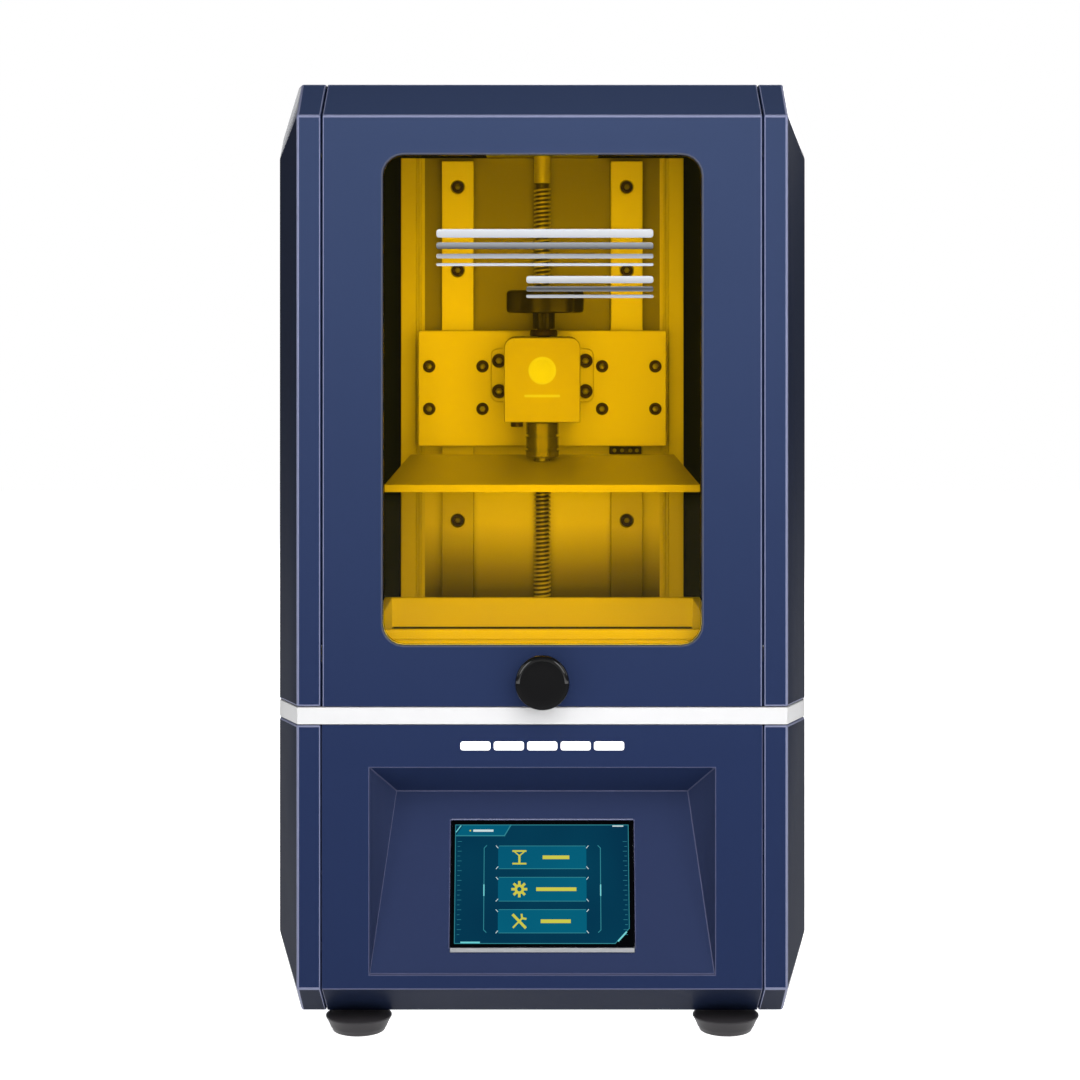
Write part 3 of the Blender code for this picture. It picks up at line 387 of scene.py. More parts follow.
# name, colour, roughness, metallic, grain, bump, colour drift, roughness drift, and other settings
FINISHES = [
    ("body_paint", PAINT_LIT_TOP, 0.42, 0.0, FINE, 0.20, 0.05, 0.05, {"ior": 1.06}),
    # painted highlight: a lighter paint on the case's rounded edges
    ("body_edge", (0.090, 0.098, 0.155), 0.45, 0.0, FINE, 0.10, 0.10, 0.05, {"ior": 1.2}),
    ("trim_white", (0.315, 0.315, 0.32), 0.45, 0.0, FINE, 0.10, 0.02, 0.04, {}),
    ("knob_black", (0.0018, 0.0018, 0.002), 0.30, 0.0, FINE, 0.03, 0.1, 0.03, {"specular": 0.05}),
    ("column_aluminium", (0.95, 0.95, 0.95), 0.32, 0.55, BRUSH_Z, 0.12, 0.05, 0.07, {}),
    ("deck_aluminium", (0.55, 0.55, 0.56), 0.45, 0.8, BRUSH_X, 0.12, 0.05, 0.07, {}),
    ("carriage_aluminium", (0.74, 0.74, 0.74), 0.42, 0.45, FINE, 0.12, 0.03, 0.06, {}),
    ("platform_aluminium", (0.47, 0.47, 0.47), 0.40, 0.5, BRUSH_X, 0.15, 0.03, 0.07, {}),
    ("block_aluminium", (0.38, 0.38, 0.38), 0.40, 0.45, FINE, 0.12, 0.03, 0.06, {}),
    ("post_aluminium", (0.38, 0.38, 0.38), 0.24, 0.85, BRUSH_Z, 0.08, 0.03, 0.06, {}),
    ("vat_aluminium", (0.95, 0.95, 0.95), 0.42, 0.45, FINE, 0.10, 0.03, 0.05, {}),
    # painted shade: a darker copy of the vat's aluminium for the vat's front faces
    ("vat_front", (0.66, 0.66, 0.66), 0.42, 0.45, FINE, 0.10, 0.03, 0.05, {}),
    ("rail_steel", (0.88, 0.88, 0.88), 0.35, 0.5, BRUSH_Z, 0.08, 0.03, 0.05, {}),
    ("screw_steel", (0.82, 0.82, 0.82), 0.35, 0.55, FINE, 0.06, 0.06, 0.06, {}),
    ("plain_steel", (0.56, 0.57, 0.59), 0.34, 0.9, FINE, 0.12, 0.06, 0.08, {}),
    ("thumbscrew_steel", (0.50, 0.51, 0.53), 0.30, 0.9, FINE, 0.12, 0.06, 0.06, {}),
    ("nut_brass", (0.62, 0.42, 0.14), 0.28, 0.9, BRUSH_X, 0.10, 0.06, 0.06, {}),
    ("motor_black", (0.016, 0.016, 0.018), 0.45, 0.2, BRUSH_Z, 0.12, 0.10, 0.06, {}),
    ("fitting_black", (0.018, 0.018, 0.020), 0.42, 0.0, FINE, 0.25, 0.10, 0.06, {}),
    ("foot_rubber", (0.0180, 0.0168, 0.0185), 0.45, 0.0, FINE, 0.30, 0.12, 0.08, {"ior": 1.25}),
    ("circuit_board", (0.012, 0.10, 0.045), 0.38, 0.0, BOARD, 0.15, 0.2, 0.06, {}),
    ("lcd_glass", (0.010, 0.010, 0.014), 0.08, 0.0, FINE, 0.02, 0.1, 0.02, {"coat": 0.5}),
    ("screw_black", (0.045, 0.035, 0.025), 0.32, 0.5, FINE, 0.10, 0.15, 0.06, {}),
    ("chrome", (0.31, 0.32, 0.335), 0.24, 0.25, FINE, 0.02, 0.03, 0.03, {}),
    ("white_ink", (0.88, 0.88, 0.89), 0.50, 0.0, FINE, 0.05, 0.02, 0.04, {}),
    ("mark_ink", (0.42, 0.52, 0.95), 0.50, 0.0, FINE, 0.05, 0.02, 0.04, {}),
    ("body_facet", PAINT, 0.26, 0.0, FINE, 0.06, 0.05, 0.05, {"ior": 1.45}),
    # painted highlight, dimmer, on the rounded edges of the recessed front panel
    ("body_edge_soft", (0.036, 0.040, 0.078), 0.45, 0.0, FINE, 0.10, 0.10, 0.05, {"ior": 1.2}),
    ("body_shade", (0.0045, 0.0070, 0.0170), 0.45, 0.0, FINE, 0.10, 0.05, 0.05, {"ior": 1.06}),
    # painted light: lighter copies of the paint for the recess's sides and floor
    ("recess_side", (0.0195, 0.0270, 0.0640), 0.42, 0.0, FINE, 0.12, 0.05, 0.05, {"ior": 1.06}),
    ("recess_floor", (0.0117, 0.0174, 0.0450), 0.42, 0.0, FINE, 0.16, 0.05, 0.05, {"ior": 1.06}),
    ("knob_rim", (0.0018, 0.0018, 0.002), 0.10, 0.0, FINE, 0.02, 0.1, 0.03, {"ior": 1.6}),
]
PANES = [  # name, tint and roughness
    ("window_acrylic", (1.0, 0.855, 0.16), 0.03),
    ("vat_film", (0.92, 0.93, 0.94), 0.06),
]
DISPLAYS = [  # name, two tones, brightness and scale of the drift between them
    ("display_black", (0.0006, 0.001, 0.002), (0.001, 0.002, 0.004), 0.5, 12.0),
    ("display_back", (0.0002, 0.018, 0.050), (0.0004, 0.050, 0.092), 1.15, 22.0),
    ("display_panel", (0.0003, 0.060, 0.115), (0.0005, 0.095, 0.150), 1.4, 30.0),
    ("display_line", (0.02, 0.22, 0.28), (0.05, 0.33, 0.38), 0.85, 12.0),
    ("display_cyan", (0.12, 0.62, 0.66), (0.25, 0.78, 0.80), 0.9, 12.0),
    ("display_yellow", (0.62, 0.58, 0.05), (0.72, 0.70, 0.10), 0.9, 12.0),
    ("display_white", (0.62, 0.78, 0.80), (0.72, 0.85, 0.87), 0.9, 12.0),
]
finish = {name: surface(name, *values, **settings) for name, *values, settings in FINISHES}
finish.update({name: tinted_pane(name, *values) for name, *values in PANES})
finish.update({name: glowing(name, *values) for name, *values in DISPLAYS})

SEAM_X = 91.25  # the gap between the hood and a side panel
SEAM_REACH = 0.6
WINDOW_SURROUND = (66.7, 150.0, 372.0)  # half width, bottom and top
SURROUND_HIGHLIGHT = (0.030, 0.033, 0.050)
COLUMN_STRIP_X = 56.0  # the column's raised edge strips start here
SCREW_AXIS = (0.0, 55.0)
# painted shade in the groove between the hood and the side panels, in place of the painted edge highlight
painted_groove_shade(finish["body_edge"], SEAM_X, SEAM_REACH, PAINT)
# a dimmer painted highlight on the rounded edges round the window
dimmed_highlight_patch(finish["body_edge"], *WINDOW_SURROUND, SURROUND_HIGHLIGHT)
# painted light: the case's paint is lighter towards the top, where more light falls, and darker towards the
# bottom
painted_light_by_height(finish["body_paint"], [(120, (0.51, 0.57, 0.74)), (400, 1.0)])
# painted reflection and shade: the column's web is dark at the foot, bright round the carriage's height and
# dark above it; its edge strips keep one tone
painted_light_by_height(finish["column_aluminium"],
      [(150, 0.10), (170, 0.15), (203, 0.97), (243, 0.97), (288, 0.30), (380, 0.30)], COLUMN_STRIP_X)
# painted shade and reflection: the rails darken towards their foot, next to the vat and the deck
painted_light_by_height(finish["rail_steel"], [(150, 0.05), (168, 0.07), (184, 0.30), (202, 0.80), (380, 1.0)])
# painted highlights and shade: light and dark bands across the chrome window stripes
painted_light_by_height(finish["chrome"], [
    (309.0, 0.70), (311.8, 0.30), (313.2, 0.05), (314.6, 0.40), (318.5, 0.95), (322.6, 0.80),
    (326.5, 0.50), (329.6, 0.04), (331.0, 0.30), (333.0, 0.55), (338.5, 1.0),
])
# painted shade between the lead screw's threads: near its axis it darkens, so only the crests look lit
painted_core_shade(finish["screw_steel"], *SCREW_AXIS, 3.3, 0.4, 0.16)


# ---------------------------------------------------------------- mesh helpers

SHARP_ANGLE = 32  # degrees between faces that stay visibly separate
BEVEL_ANGLE = 28
BEVEL_STEPS = 2


def mesh_piece(name, bm, look, body, bevel=0.0, smooth=True, replaces=()):
    """Turns a millimetre mesh into a named piece that rides on a CAD body."""
    bmesh.ops.scale(bm, vec=(MM, MM, MM), verts=bm.verts)
    bmesh.ops.recalc_face_normals(bm, faces=bm.faces)
    mesh = bpy.data.meshes.new(name)
    bm.to_mesh(mesh)
    bm.free()
    mesh.materials.append(finish[look])
    piece = bpy.data.objects.new(name, mesh)
    bpy.context.scene.collection.objects.link(piece)
    if smooth:
        mesh.shade_smooth()
        mesh.set_sharp_from_angle(angle=math.radians(SHARP_ANGLE))
    if bevel:
        add_bevel(piece, bevel)
    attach(piece, body)
    if replaces:
        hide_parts(*replaces)
    return piece


def add_bevel(piece, width, edge_material=-1, clamp=True):
    change = piece.modifiers.new("rounding", "BEVEL")
    change.width = width * MM
    change.segments = BEVEL_STEPS
    change.limit_method = "ANGLE"
    change.angle_limit = math.radians(BEVEL_ANGLE)
    change.harden_normals = True
    change.use_clamp_overlap = clamp
    change.material = edge_material


def box(bm, x0, x1, y0, y1, z0, z1):
    """Adds a closed box between two corners."""
    size = Vector((x1 - x0, y1 - y0, z1 - z0))
    middle = Vector((x0 + x1, y0 + y1, z0 + z1)) / 2
    bmesh.ops.create_cube(bm, size=1.0, matrix=Matrix.Translation(middle) @ Matrix.Diagonal((*size, 1.0)))


def skin(bm, rows):
    """Joins rows of points round an axis, each row a closed ring, into a closed solid."""
    count = len(rows[0])
    for low, high in zip(rows, rows[1:]):
        for a in range(count):
            b = (a + 1) % count
            bm.faces.new((low[a], low[b], high[b], high[a]))
    bm.faces.new(list(reversed(rows[0])))
    bm.faces.new(rows[-1])


def rings(bm, count, rows, point):
    """A closed solid round an axis. point(row, step) gives each place."""
    skin(bm, [[bm.verts.new(point(row, step)) for step in range(count)] for row in range(rows)])


def lathe(bm, profile, place, steps=48):
    """A solid of revolution about its own Z, from (radius, height) pairs, moved by a matrix."""
    def point(row, step):
        radius, height = profile[row]
        angle = math.tau * step / steps
        return place @ Vector((radius * math.cos(angle), radius * math.sin(angle), height))
    rings(bm, steps, len(profile), point)


CORNER_STEPS = 5


def corner_arc(cx, cy, radius, start):
    """Points on a quarter round from an angle in degrees."""
    angles = [math.radians(start + 90 * i / CORNER_STEPS) for i in range(CORNER_STEPS + 1)]
    return [(cx + radius * math.cos(angle), cy + radius * math.sin(angle)) for angle in angles]


def rounded(x0, x1, z0, z1, radius):
    """The outline of a rounded rectangle."""
    left, right, low, high = x0 + radius, x1 - radius, z0 + radius, z1 - radius
    centres = ((right, high, 0), (left, high, 90), (left, low, 180), (right, low, 270))
    return [point for x, z, start in centres for point in corner_arc(x, z, radius, start)]


TURN = {
    "-Y": Matrix.Rotation(math.radians(90), 4, "X"),
    "+Y": Matrix.Rotation(math.radians(-90), 4, "X"),
    "+Z": Matrix.Identity(4),
    "-Z": Matrix.Rotation(math.radians(180), 4, "X"),
}


def at(x, y, z, facing="+Z"):
    """A place whose own +Z points the way that it faces."""
    return Matrix.Translation((x, y, z)) @ TURN[facing]


SCREW_SIDES = 28
SOCKET_SHARE = 0.50  # a socket's radius as a share of its head's
SOCKET_DEPTH = 0.75  # and its depth as a share of the head's height


def cap_screw(bm, place, radius, height):
    """A socket head: a rounded rim round a six-sided hollow."""
    inner, deep, edge = radius * SOCKET_SHARE, height * SOCKET_DEPTH, radius * 0.16

    def ring(size, level, six=False):
        out = []
        for step in range(SCREW_SIDES):
            angle = math.tau * step / SCREW_SIDES
            reach = size
            if six:
                fold = (angle % (math.pi / 3)) - math.pi / 6
                reach = size * math.cos(math.pi / 6) / math.cos(fold)
            spot = Vector((reach * math.cos(angle), reach * math.sin(angle), level))
            out.append(bm.verts.new(place @ spot))
        return out

    skin(bm, [
        ring(radius, 0), ring(radius, height - edge), ring(radius - edge * 0.3, height - edge * 0.3),
        ring(radius - edge, height), ring(inner + edge * 0.6, height), ring(inner, height - edge * 0.4, True),
        ring(inner, height - deep, True),
    ])


def screw_group(name, places, radius, height, body, sockets=False):
    """Socket screws as one piece, and the bright floors of their sockets as another where they are wanted."""
    bm = bmesh.new()
    for place in places:
        cap_screw(bm, place, radius, height)
    mesh_piece(name, bm, "screw_black", body)
    if sockets:
        bm = bmesh.new()
        floor, level = radius * SOCKET_SHARE, height * (1 - SOCKET_DEPTH)
        for place in places:
            lathe(bm, [(floor, level - 0.1), (floor, level + 0.25), (floor * 0.8, level + 0.4)], place, 6)
        mesh_piece(f"{name}_sockets", bm, "plain_steel", body)


def slab(bm, outline, low, high, place=None):
    """Adds a prism whose outline is in local XZ, from low to high along local Y, moved by a matrix."""
    place = place or Matrix.Identity(4)
    front = [bm.verts.new(place @ Vector((a, low, b))) for a, b in outline]
    rear = [bm.verts.new(place @ Vector((a, high, b))) for a, b in outline]
    bm.faces.new(front)
    bm.faces.new(list(reversed(rear)))
    count = len(outline)
    for a in range(count):
        b = (a + 1) % count
        bm.faces.new((front[a], rear[a], rear[b], front[b]))


def with_holes(bm, tools):
    """Cuts a closed mesh with another and gives the result."""
    items = []
    for part in (bm, tools):
        mesh = bpy.data.meshes.new("work")
        bmesh.ops.recalc_face_normals(part, faces=part.faces)
        part.to_mesh(mesh)
        part.free()
        item = bpy.data.objects.new("work", mesh)
        bpy.context.scene.collection.objects.link(item)
        items.append(item)
    solid, tool = items
    change = solid.modifiers.new("holes", "BOOLEAN")
    change.operation = "DIFFERENCE"
    change.solver = "EXACT"
    change.object = tool
    result = bmesh.new()
    result.from_mesh(solid.evaluated_get(bpy.context.evaluated_depsgraph_get()).to_mesh())
    for item in items:
        mesh = item.data
        bpy.data.objects.remove(item)
        bpy.data.meshes.remove(mesh)
    return result


# ---------------------------------------------------------------- CAD nodes that stay

# the rounding of each kept node's edges
ROUNDING = {
    "hood_shell": 0.8, "upper_side_panel_left": 0.8, "upper_side_panel_right": 0.8,
    "lower_side_panel_left": 0.8, "lower_side_panel_right": 0.8, "lower_front_panel": 0.5,
    "lower_back_panel": 0.5, "upper_back_panel": 0.5, "trim_band": 0.4, "window_pane": 0.4,
    "carriage_plate": 0.6, "arm_bracket": 0.6, "clamp_block": 0.8, "build_plate": 0.3, "vat_frame": 0.45,
    "column": 0.35, "deck_plate": 0.5, "top_bearing_block": 0.5, "touch_screen": 0.3, "base_pan": 0.4,
    "power_rocker": 0.6, "switch_housing": 0.4, "exhaust_fan_frame": 0.5, "z_motor": 1.2,
    "motor_bracket": 0.4, "uv_lamp_housing": 0.4,
}
OTHER_LOOKS = {"touch_screen": "display_black", "clamp_block": "block_aluminium"}
MERGE_REACH = 0.005  # points this near each other are one point
FLAT_ANGLE = 0.5  # degrees between triangles that count as one flat face
VAT_FRONT_Y = -60.0  # faces of the vat further forward than this are its front, which gets a darker copy of the vat's aluminium as painted shade

# the paints of the case, in the order of a node's material slots: plain paint, a painted edge highlight,
# glossy facets, painted shade, and painted light on the recess's sides and floor
PLAIN, EDGE_HIGHLIGHT, FACET, SHADE, RECESS_SIDE_LIT, RECESS_FLOOR_LIT = range(6)
CORNER_X = 100.0  # the front corner bevels lie beyond this
CHAMFER_TOP = 45.0  # and the chamfer along the foot of the front lies below this
RECESS_HALF_X = 75.0


def paint_zone(normal, centre, recessed):
    """Which paint a face of the case gets."""
    if abs(normal.x) > 0.90 and 0.15 < -normal.y < 0.25 and abs(normal.z) > 0.2:
        return FACET
    if abs(normal.x) > 0.4 and normal.y < -0.15 and abs(normal.z) < 0.1 and abs(centre.x) > CORNER_X * MM:
        return SHADE
    if normal.z < -0.2 and normal.y < -0.2 and abs(normal.x) < 0.2 and centre.z < CHAMFER_TOP * MM:
        return SHADE
    if recessed and abs(normal.x) > 0.4 and abs(centre.x) < RECESS_HALF_X * MM:
        return RECESS_SIDE_LIT
    if recessed and normal.y < -0.8 and normal.z > 0.15:
        return RECESS_FLOOR_LIT
    return PLAIN


def dress_cad_nodes():
    """Gives every kept node its finish, whole flat faces and rounded edges."""
    slots = {entry["node"]: entry["material_slot"] for entry in frame["record"]["subparts"]}
    for name, node in nodes.items():
        painted = slots[name] == "body_paint"
        recessed = name == "lower_front_panel"
        looks = [OTHER_LOOKS.get(name, slots[name])]
        if painted:
            looks += ["body_edge_soft" if recessed else "body_edge", "body_facet", "body_shade"]
        if recessed:
            looks += ["recess_side", "recess_floor"]
        if name == "vat_frame":
            looks.append("vat_front")
        node.data.materials.clear()
        for look in looks:
            node.data.materials.append(finish[look])
        for face in node.data.polygons:
            if painted:
                face.material_index = paint_zone(face.normal, face.center, recessed)
            elif name == "vat_frame" and face.normal.y < -0.5 and face.center.y < VAT_FRONT_Y * MM:
                face.material_index = looks.index("vat_front")
        merge = node.modifiers.new("merge", "WELD")
        merge.merge_threshold = MERGE_REACH * MM
        flat = node.modifiers.new("flat", "DECIMATE")
        flat.decimate_type = "DISSOLVE"
        flat.angle_limit = math.radians(FLAT_ANGLE)
        if name in ROUNDING:
            if "custom_normal" in node.data.attributes:
                node.data.attributes.remove(node.data.attributes["custom_normal"])
            node.data.shade_smooth()
            # the case's rounded edges get the painted edge highlight
            add_bevel(node, ROUNDING[name], EDGE_HIGHLIGHT if painted else -1, clamp=name != "hood_shell")


# ---------------------------------------------------------------- lift

THREAD_TOP = 363.5
THREAD_PITCH = 2.0
RAIL_SCREWS = [362.7 - 39.45 * i for i in range(6)]  # heights
RAIL_GROOVE = 1.6
CARRIAGE_SCREW_X = (-52.9, -28.0, 28.0, 52.9)
CARRIAGE_SCREW_Z = (278.1, 258.2)
BRACKET_SCREW_X = (-20.2, 20.2)
BRACKET_SCREW_Z = (280.8, 266.6)
BRACKET_DEPTH = 3.3  # from the carriage plate's face to the bracket's


def lead_screw():
    """A right-hand trapezoidal thread on a plain core, with a smooth top end."""
    low, high = corners("lead_screw")
    radius, core, pitch, steps = 4.0, 3.0, THREAD_PITCH, 24
    thread_low, thread_high = low.z + 0.5, THREAD_TOP
    y = (low.y + high.y) / 2
    bm = bmesh.new()
    lathe(bm, [(core, low.z), (core, thread_high + 0.5), (radius - 0.15, thread_high + 1.2),
               (radius - 0.15, high.z - 0.6), (radius - 0.75, high.z)], at(0, y, 0), 24)
    section = [(core - 0.1, 0.0), (radius, 0.42), (radius, 1.0), (core - 0.1, 1.42)]
    turns = int((thread_high - thread_low - pitch) / pitch)
    rows = []
    for i in range(turns * steps + 1):
        angle = math.tau * i / steps
        z = thread_low + pitch * i / steps
        across, back = math.cos(angle), math.sin(angle)
        rows.append([bm.verts.new((r * across, y + r * back, z + dz)) for r, dz in section])
    for low_row, high_row in zip(rows, rows[1:]):
        for k in range(4):
            j = (k + 1) % 4
            bm.faces.new((low_row[k], low_row[j], high_row[j], high_row[k]))
    bm.faces.new(rows[0])
    bm.faces.new(list(reversed(rows[-1])))
    mesh_piece("lead_screw_thread", bm, "screw_steel", "screw", replaces=("lead_screw",))


def rails():
    """Rails with a groove down each side and a bored seat for each screw."""
    screws = []
    for side in ("left", "right"):
        low, high = corners(f"rail_{side}")
        x = (low.x + high.x) / 2
        half, front, back = (high.x - low.x) / 2, low.y, high.y
        neck = half - RAIL_GROOVE
        outline = [
            (x - half, back), (x - half, front + 5), (x - neck, front + 4), (x - neck, front + 3),
            (x - half, front + 2), (x - half, front), (x + half, front), (x + half, front + 2),
            (x + neck, front + 3), (x + neck, front + 4), (x + half, front + 5), (x + half, back),
        ]
        bm = bmesh.new()
        bottom = [bm.verts.new((a, b, low.z)) for a, b in outline]
        top = [bm.verts.new((a, b, high.z)) for a, b in outline]
        bm.faces.new(bottom)
        bm.faces.new(top)
        for a in range(len(outline)):
            b = (a + 1) % len(outline)
            bm.faces.new((bottom[a], bottom[b], top[b], top[a]))
        bores = bmesh.new()
        for z in RAIL_SCREWS:
            lathe(bores, [(3.15, -3.6), (3.15, 1.0)], at(x, front, z, "-Y"), 32)
            screws.append(at(x, front + 3.4, z, "-Y"))
        mesh_piece(f"rail_bored_{side}", with_holes(bm, bores), "rail_steel", "base", bevel=0.4,
                   replaces=(f"rail_{side}",))
    screw_group("rail_screws", screws, 2.8, 3.1, "base", sockets=True)


def carriage_fittings():
    """Screws on the carriage and its bracket, and the small riveted stop under the carriage."""
    plate = corners("carriage_plate")[0].y
    places = [at(x, plate, z, "-Y") for x in CARRIAGE_SCREW_X for z in CARRIAGE_SCREW_Z]
    screw_group("carriage_screws", places, 2.9, 1.5, "carriage", sockets=True)
    bracket = plate - BRACKET_DEPTH
    places = [at(x, bracket, z, "-Y") for x in BRACKET_SCREW_X for z in BRACKET_SCREW_Z]
    screw_group("bracket_screws", places, 3.3, 2.6, "carriage", sockets=True)
    bm = bmesh.new()
    front = 47.4
    box(bm, 31.6, 46.7, front, front + 5.0, 236.6, 240.2)
    mesh_piece("rail_stop", bm, "fitting_black", "carriage", bevel=0.3)
    bm = bmesh.new()
    for x in (34.0, 37.5, 41.5, 44.5):
        lathe(bm, [(0.9, 0), (0.9, 0.25), (0.6, 0.4)], at(x, front, 238.4, "-Y"), 16)
    mesh_piece("rail_stop_rivets", bm, "plain_steel", "carriage")


# ---------------------------------------------------------------- clamp and platform

def lobed(bm, profile, centre, lobes, depth, steps=168):
    """A knob whose outline swells and narrows round its axis. The profile is (radius, height, lobe share)."""
    def point(row, step):
        radius, height, share = profile[row]
        angle = math.tau * step / steps
        reach = radius + share * depth * math.cos(lobes * angle)
        return Vector(centre) + Vector((reach * math.cos(angle), reach * math.sin(angle), height))
    rings(bm, steps, len(profile), point)


def clamp_fittings():
    """The lobed clamp knob, its collar, the block's set screw and the plain mark on its face."""
    low, high = corners("clamp_knob")
    x, y = (low.x + high.x) / 2, (low.y + high.y) / 2
    top, bottom = high.z, high.z - 10.3
    grip = [
        (12.0, bottom, 0.2), (15.6, bottom, 0.8), (16.6, bottom + 0.5, 1.0), (17.0, bottom + 1.5, 1.0),
        (17.0, top - 1.5, 1.0), (16.6, top - 0.5, 1.0), (15.6, top, 0.8), (6.0, top, 0.2),
        (5.0, top - 0.8, 0.0),
    ]
    bm = bmesh.new()
    lobed(bm, grip, (x, y, 0), 7, 1.2)
    neck = [
        (3.0, low.z, 0), (3.0, bottom - 7.2, 0), (4.6, bottom - 7.2, 0.3), (4.8, bottom - 6.6, 1),
        (4.8, bottom + 1, 1),
    ]
    lobed(bm, neck, (x, y, 0), 12, 0.25, 96)
    mesh_piece("clamp_knob_grip", bm, "fitting_black", "clamp_screw", replaces=("clamp_knob",))
    low, high = corners("clamp_washer")
    bm = bmesh.new()
    collar = [
        (6.0, low.z, 0), (6.3, low.z + 0.4, 0), (6.3, high.z - 1.2, 0), (6.0, high.z - 0.8, 1),
        (5.6, high.z, 1), (3.4, high.z, 0), (3.3, low.z + 0.2, 0),
    ]
    lobed(bm, collar, (x, y, 0), 20, 0.22, 120)
    mesh_piece("clamp_collar", bm, "screw_black", "platform_mount", replaces=("clamp_washer",))
    block = corners("clamp_block")[0]
    screw_group("clamp_set_screw", [at(-11.4, -5.0, block.z, "-Z")], 2.8, 2.4, "platform_mount")
    bm = bmesh.new()
    disc = [(6.2, -0.02), (6.2, 0.10), (5.9, 0.16), (4.6, 0.16), (4.4, 0.05)]
    lathe(bm, disc, at(0, block.y, 277.5, "-Y"), 48)
    slab(bm, rounded(-8.0, 8.0, 265.6, 266.8, 0.55), block.y - 0.14, block.y + 0.02)
    mesh_piece("clamp_mark", bm, "mark_ink", "platform_mount")


# ---------------------------------------------------------------- hood, front and feet

KNOB_GAP = 0.3  # between the knob's foot and the hood
KNOB_ROUND = 1.9  # the radius of the knob's rounded rim
STRIPES_RIGHT = 45.9
# the left end and the lower and upper edges of each plain stripe on the window
WINDOW_STRIPES = [
    (-43.8, 334.3, 337.9), (-43.8, 329.6, 332.4), (-43.8, 325.7, 327.7), (-43.8, 322.6, 323.8),
    (-6.6, 315.5, 318.5), (-6.6, 312.05, 314.25), (-6.6, 309.4, 310.8),
]
DASH_PITCH = 13.8  # the five plain dashes below the white band
DASH_HALF = 6.2
DASH_LOW, DASH_HIGH = 122.6, 126.2


def hood_fittings():
    """The hood's knob, the stripes on its window and the dashes below it."""
    low, high = corners("hood_knob")
    z, radius = (low.z + high.z) / 2, (high.z - low.z) / 2
    foot = FRONT_Y - KNOB_GAP
    length = foot - low.y
    profile = [(2.0, -6.8), (2.0, 0), (6.6, 0), (6.6, 4.0), (7.4, 5.6), (radius - 0.5, 8.2)]
    for angle in (90, 75, 60, 45, 30, 15, 0):
        out, up = math.sin(math.radians(angle)), math.cos(math.radians(angle))
        profile.append((radius - KNOB_ROUND + KNOB_ROUND * out, length - KNOB_ROUND + KNOB_ROUND * up))
    profile += [(radius - 4.5, length), (radius - 8.0, length - 0.15)]
    bm = bmesh.new()
    lathe(bm, profile, at(0, foot, z, "-Y"), 72)
    knob = mesh_piece("hood_knob_turned", bm, "knob_black", "hood", replaces=("hood_knob",))
    knob.data.materials.append(finish["knob_rim"])
    for face in knob.data.polygons:
        middle = face.center / MM
        on_rim = math.hypot(middle.x, middle.z - z) > radius - KNOB_ROUND and middle.y < low.y + KNOB_ROUND
        if on_rim and middle.z > z:
            face.material_index = 1

    pane = corners("window_pane")[0].y
    bm = bmesh.new()
    for left, bottom, top in WINDOW_STRIPES:
        outline = rounded(left, STRIPES_RIGHT, bottom, top, (top - bottom) * 0.35)
        slab(bm, outline, pane - 0.45, pane + 0.02)
    mesh_piece("window_stripes", bm, "chrome", "hood", bevel=0.15)
    bm = bmesh.new()
    for i in range(-2, 3):
        middle = DASH_PITCH * i
        outline = rounded(middle - DASH_HALF, middle + DASH_HALF, DASH_LOW, DASH_HIGH, 1.0)
        slab(bm, outline, FRONT_Y - 0.12, FRONT_Y + 0.02)
    mesh_piece("front_dashes", bm, "white_ink", "base")


def feet():
    """Four flared rubber cups."""
    for name in nodes:
        if not name.startswith("foot_"):
            continue
        low, high = corners(name)
        x, y, top = (low.x + high.x) / 2, (low.y + high.y) / 2, high.z
        profile = [
            (7.0, 0.4), (8.6, 0.4), (9.0, 0.0), (10.6, 0.0), (11.0, 0.3), (11.6, 1.6), (11.9, 1.9),
            (12.0, 2.2), (12.9, 4.2), (13.6, 5.4), (13.95, 6.0), (13.9, 6.5), (13.4, 6.9), (12.4, top),
            (6.0, top),
        ]
        bm = bmesh.new()
        lathe(bm, profile, at(x, y, 0), 64)
        mesh_piece(f"{name}_cup", bm, "foot_rubber", "base", replaces=(name,))


# ---------------------------------------------------------------- screen

RECESS_FOOT = (FRONT_Y + 0.8, 29.8)  # y and z of the tilted panel's lower edge
RECESS_TILT = math.atan2(24.2, 71.2)
GLASS = 0.2  # depth of the screen's face behind the panel's face


def on_panel():
    """The tilted panel's plane: local X and Z run across and up it, and local Y runs into it."""
    y, z = RECESS_FOOT
    return Matrix.Translation((0, y, z)) @ Matrix.Rotation(-RECESS_TILT, 4, "X")


def patch_on_screen(bm, outline, lift):
    """A flat raised shape on the screen, standing out by its lift."""
    slab(bm, outline, GLASS - lift, GLASS + 0.01, on_panel())


def stroke(bm, a, b, width, lift=0.10):
    """A raised straight line on the screen from point a to point b."""
    a, b = Vector(a), Vector(b)
    along = (b - a).normalized() * width / 2
    across = Vector((-along.y, along.x))
    ends = (a - along - across, b + along - across, b + along + across, a - along + across)
    patch_on_screen(bm, ends, lift)


def path(bm, points, width, closed=False, lift=0.10):
    """Strokes from each point to the next."""
    pairs = list(zip(points, points[1:])) + ([(points[-1], points[0])] if closed else [])
    for a, b in pairs:
        stroke(bm, a, b, width, lift)


BUTTONS = ((42.79, 52.16), (29.53, 39.27), (16.63, 26.10))  # lower and upper edges up the panel
BUTTON_HALF = 18.5
BRACKET_LINE_X = 24.4
ICON_X = -9.6
COG_TEETH = 8


